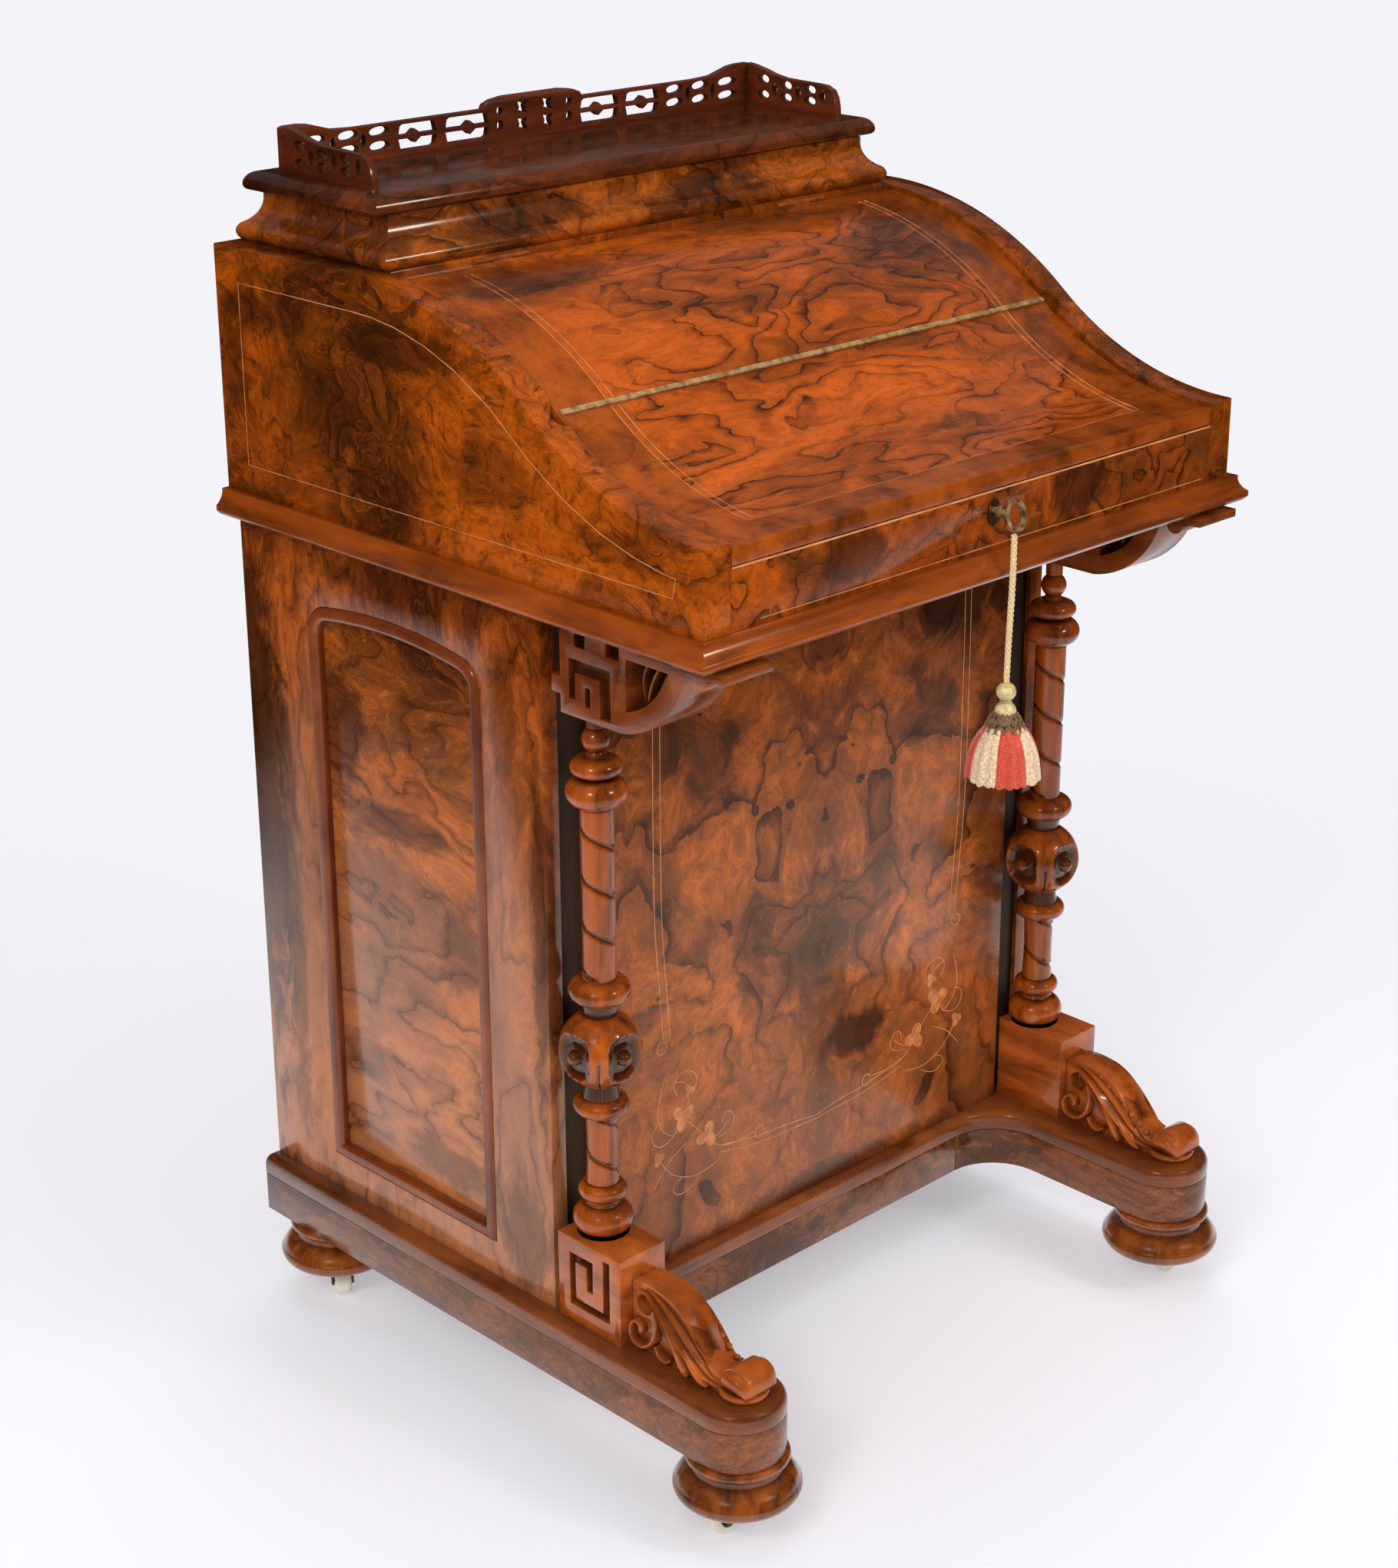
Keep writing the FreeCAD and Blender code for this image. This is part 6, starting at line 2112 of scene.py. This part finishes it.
@dataclass
class StationeryBox:
    """The moulded box on the case, its tray, its lid and the pierced gallery."""

    lining: Material
    gallery_half: float = 232.5
    gallery_back: float = 240.0
    board_thick: float = 6.0
    bay_middle: float = 903.2
    bay_half: float = 9.4
    bays: tuple[Point, ...] = ((-130, -93.4, -114), (-86, -43.5, -62), (47, 87.4, 66), (94, 130, 113))
    half_rise: tuple[Flat, ...] = (
        (232.5, 890.5), (232.5, 921.0), (229, 922), (217, 922), (208, 921), (199, 918.5), (188, 915.5),
        (170, 914.5), (49, 914.5), (47, 918), (40, 920.5), (28, 922), (0, 922),
    )
    end_line: tuple[Flat, ...] = (
        (135.5, 890.5), (234, 890.5), (234, 922), (226, 921), (214, 918.5), (205, 916), (193, 914),
        (180, 913.5), (156, 913), (148, 912.5), (141, 909.5), (137.5, 904), (136, 897),
    )

    def slot(self, start: float, end: float, lozenge: float) -> list[list[Flat]]:
        """The two holes of one fretted bay, above and below its bar with a lozenge on it.

        Args:
            start: where the bay starts across the board.
            end: where it ends.
            lozenge: the lozenge's middle.

        Returns:
            The corners of each hole.
        """
        holes = []
        for hand in (-1, 1):
            far = self.bay_middle + hand * self.bay_half
            near = self.bay_middle + hand * 1.1
            peak = self.bay_middle + hand * 4.6
            cut = far - hand * 1.5
            corners = [(start, near), (lozenge - 5.0, near), (lozenge, peak), (lozenge + 5.0, near)]
            corners += [(end, near), (end - 1.5, cut), (end - 4.0, far), (start + 4.0, far)]
            corners.append((start + 1.5, cut))
            holes.append([corner for corner in corners if start <= corner[0] <= end])
        return holes

    def star(self, across: float, up: float, size: float) -> list[Flat]:
        """The corners of a four-pointed hole.

        Args:
            across: its middle across the board.
            up: its middle's height.
            size: how far its points reach.

        Returns:
            The corners.
        """
        corners = []
        for step in range(8):
            turn = math.pi * (step + 1) / 4
            reach = size * 0.45 if step % 2 else size
            corners.append((across + reach * math.cos(turn), up + reach * math.sin(turn)))
        return corners

    def back_holes(self) -> list[list[Flat]]:
        """The fret of the back board.

        Returns:
            The corners of each hole.
        """
        holes = []
        for bay in self.bays:
            holes += self.slot(*bay)
        for across in (-33.0, 36.0):
            holes += [oval((across, up), 3.4, 4.2, 16) for up in (912.2, 901.2)]
        for across in (-11.0, 14.0):
            holes += [self.star(across, up, 7.4) for up in (912.8, 900.6)]
        for across in (161.5, 189.0):
            holes += [oval((hand * across, 904.5), 2.6, 5.6, 16) for hand in (-1, 1)]
        for across, wide in ((147.0, 9.5), (175.0, 9.5), (205.0, 10.5)):
            for up in (909.8, 899.4):
                holes += [oval((hand * across, up), wide, 3.7, 16) for hand in (-1, 1)]
        return holes

    def make_gallery(self, wood: Material) -> None:
        """Saw the fretted back and its two falling ends.

        Args:
            wood: the fretwork's finish.
        """
        outline = [*self.half_rise, *((-across, up) for across, up in reversed(self.half_rise[:-1]))]
        thick = self.board_thick
        upright = Matrix.Rotation(math.pi / 2, 4, "X")
        place = Matrix.Translation((0, (self.gallery_back - thick / 2) * MM, 0)) @ upright
        boards = [pierced("gallery_back", outline, self.back_holes(), thick, place)]
        holes = []
        for deep, top in ((215.0, 911.5), (190.0, 908.8), (164.0, 908.0)):
            holes += [oval((deep, top), 6.6, 3.8, 16), oval((deep, 899.4), 6.6, 3.6, 16)]
        holes += [oval((deep, 904.0), 3.2, 5.8, 16) for deep in (202.5, 177.0, 150.5)]
        side_on = Matrix(((0, 0, 1, 0), (1, 0, 0, 0), (0, 1, 0, 0), (0, 0, 0, 1)))
        for hand in (-1, 1):
            place = Matrix.Translation((hand * (self.gallery_half - thick / 2) * MM, 0, 0)) @ side_on
            boards.append(pierced("gallery_end_%d" % (hand + 2), self.end_line, holes, thick, place))
        hand_over(joined("gallery_fretted", boards), "box_cover", wood, ["gallery"])

    def build(self) -> None:
        """Make the box and its gallery."""
        # A burr that the mouldings cut across, with a dark cloud to the left and to the right
        veneer = BurrWalnut(
            "box_veneer",
            light="#C25C16", ground="#A85212", brown="#5E2C0A", ink="#1E0C04", figure=150.0, bands=4.6,
            stretch=(0.8, 1, 1.2), place=(20, 40, 0), mottle=0.6,
            patches=(Patch((-100, 110, 862), (70, 40, 16), 0.7), Patch((70, 110, 855), (60, 40, 18), 0.6)),
        ).make()
        refinished("box_walls", "desk", veneer, 0.5)
        # The top and its fret are the darkest wood
        top_veneer = BurrWalnut(
            "box_lid_veneer",
            light="#74350F", ground="#5A2A10", brown="#3E1A0A", ink="#240E06", figure=140.0, bands=4.0,
            stretch=(0.6, 1, 1), place=(5, 15, 25),
        ).make()
        refinished("box_lid", "box_cover", top_veneer, 0.5)
        dress(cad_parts["box_rack"], self.lining)
        # Dark red brown, nearly black in the saw cuts, where shade is painted
        fret = PolishedWalnut(
            "fret_walnut", "#6A2E16", "#3A160A", streak=(125.0, 125.0, 16.67), roughness=0.22
        ).make()
        self.make_gallery(fret)


def main() -> None:
    """Build the studio and the desk."""
    logging.basicConfig(level=logging.INFO, format="%(name)s: %(message)s")
    Studio().build()
    # Brass rubbed bright, iron left dull, boxwood paler than any walnut, and lining never polished
    brass = OldMetal("aged_brass", "#C9A463", "#7C5A2C", 0.28).make()
    iron = OldMetal("dull_iron", "#6E6A66", "#3B3733", 0.45).make()
    boxwood = PlainFinish("boxwood_inlay", "#D0905A", "#B06C36", 0.3, coat=0.3, grain=16.67).make()
    lining = PlanedWood("lining_timber").make()
    turned_wood = PolishedWalnut("turned_walnut", "#AC5014", "#4C200A", coat=0.65).make()
    KeyAndTassel().build()
    Plinth().build()
    FrontSupports(turned_wood).build()
    Pedestal(turned_wood, boxwood, lining).build()
    DeskCase(boxwood, brass, lining, iron).build()
    StationeryBox(lining).build()


if __name__ == "__main__":
    main()
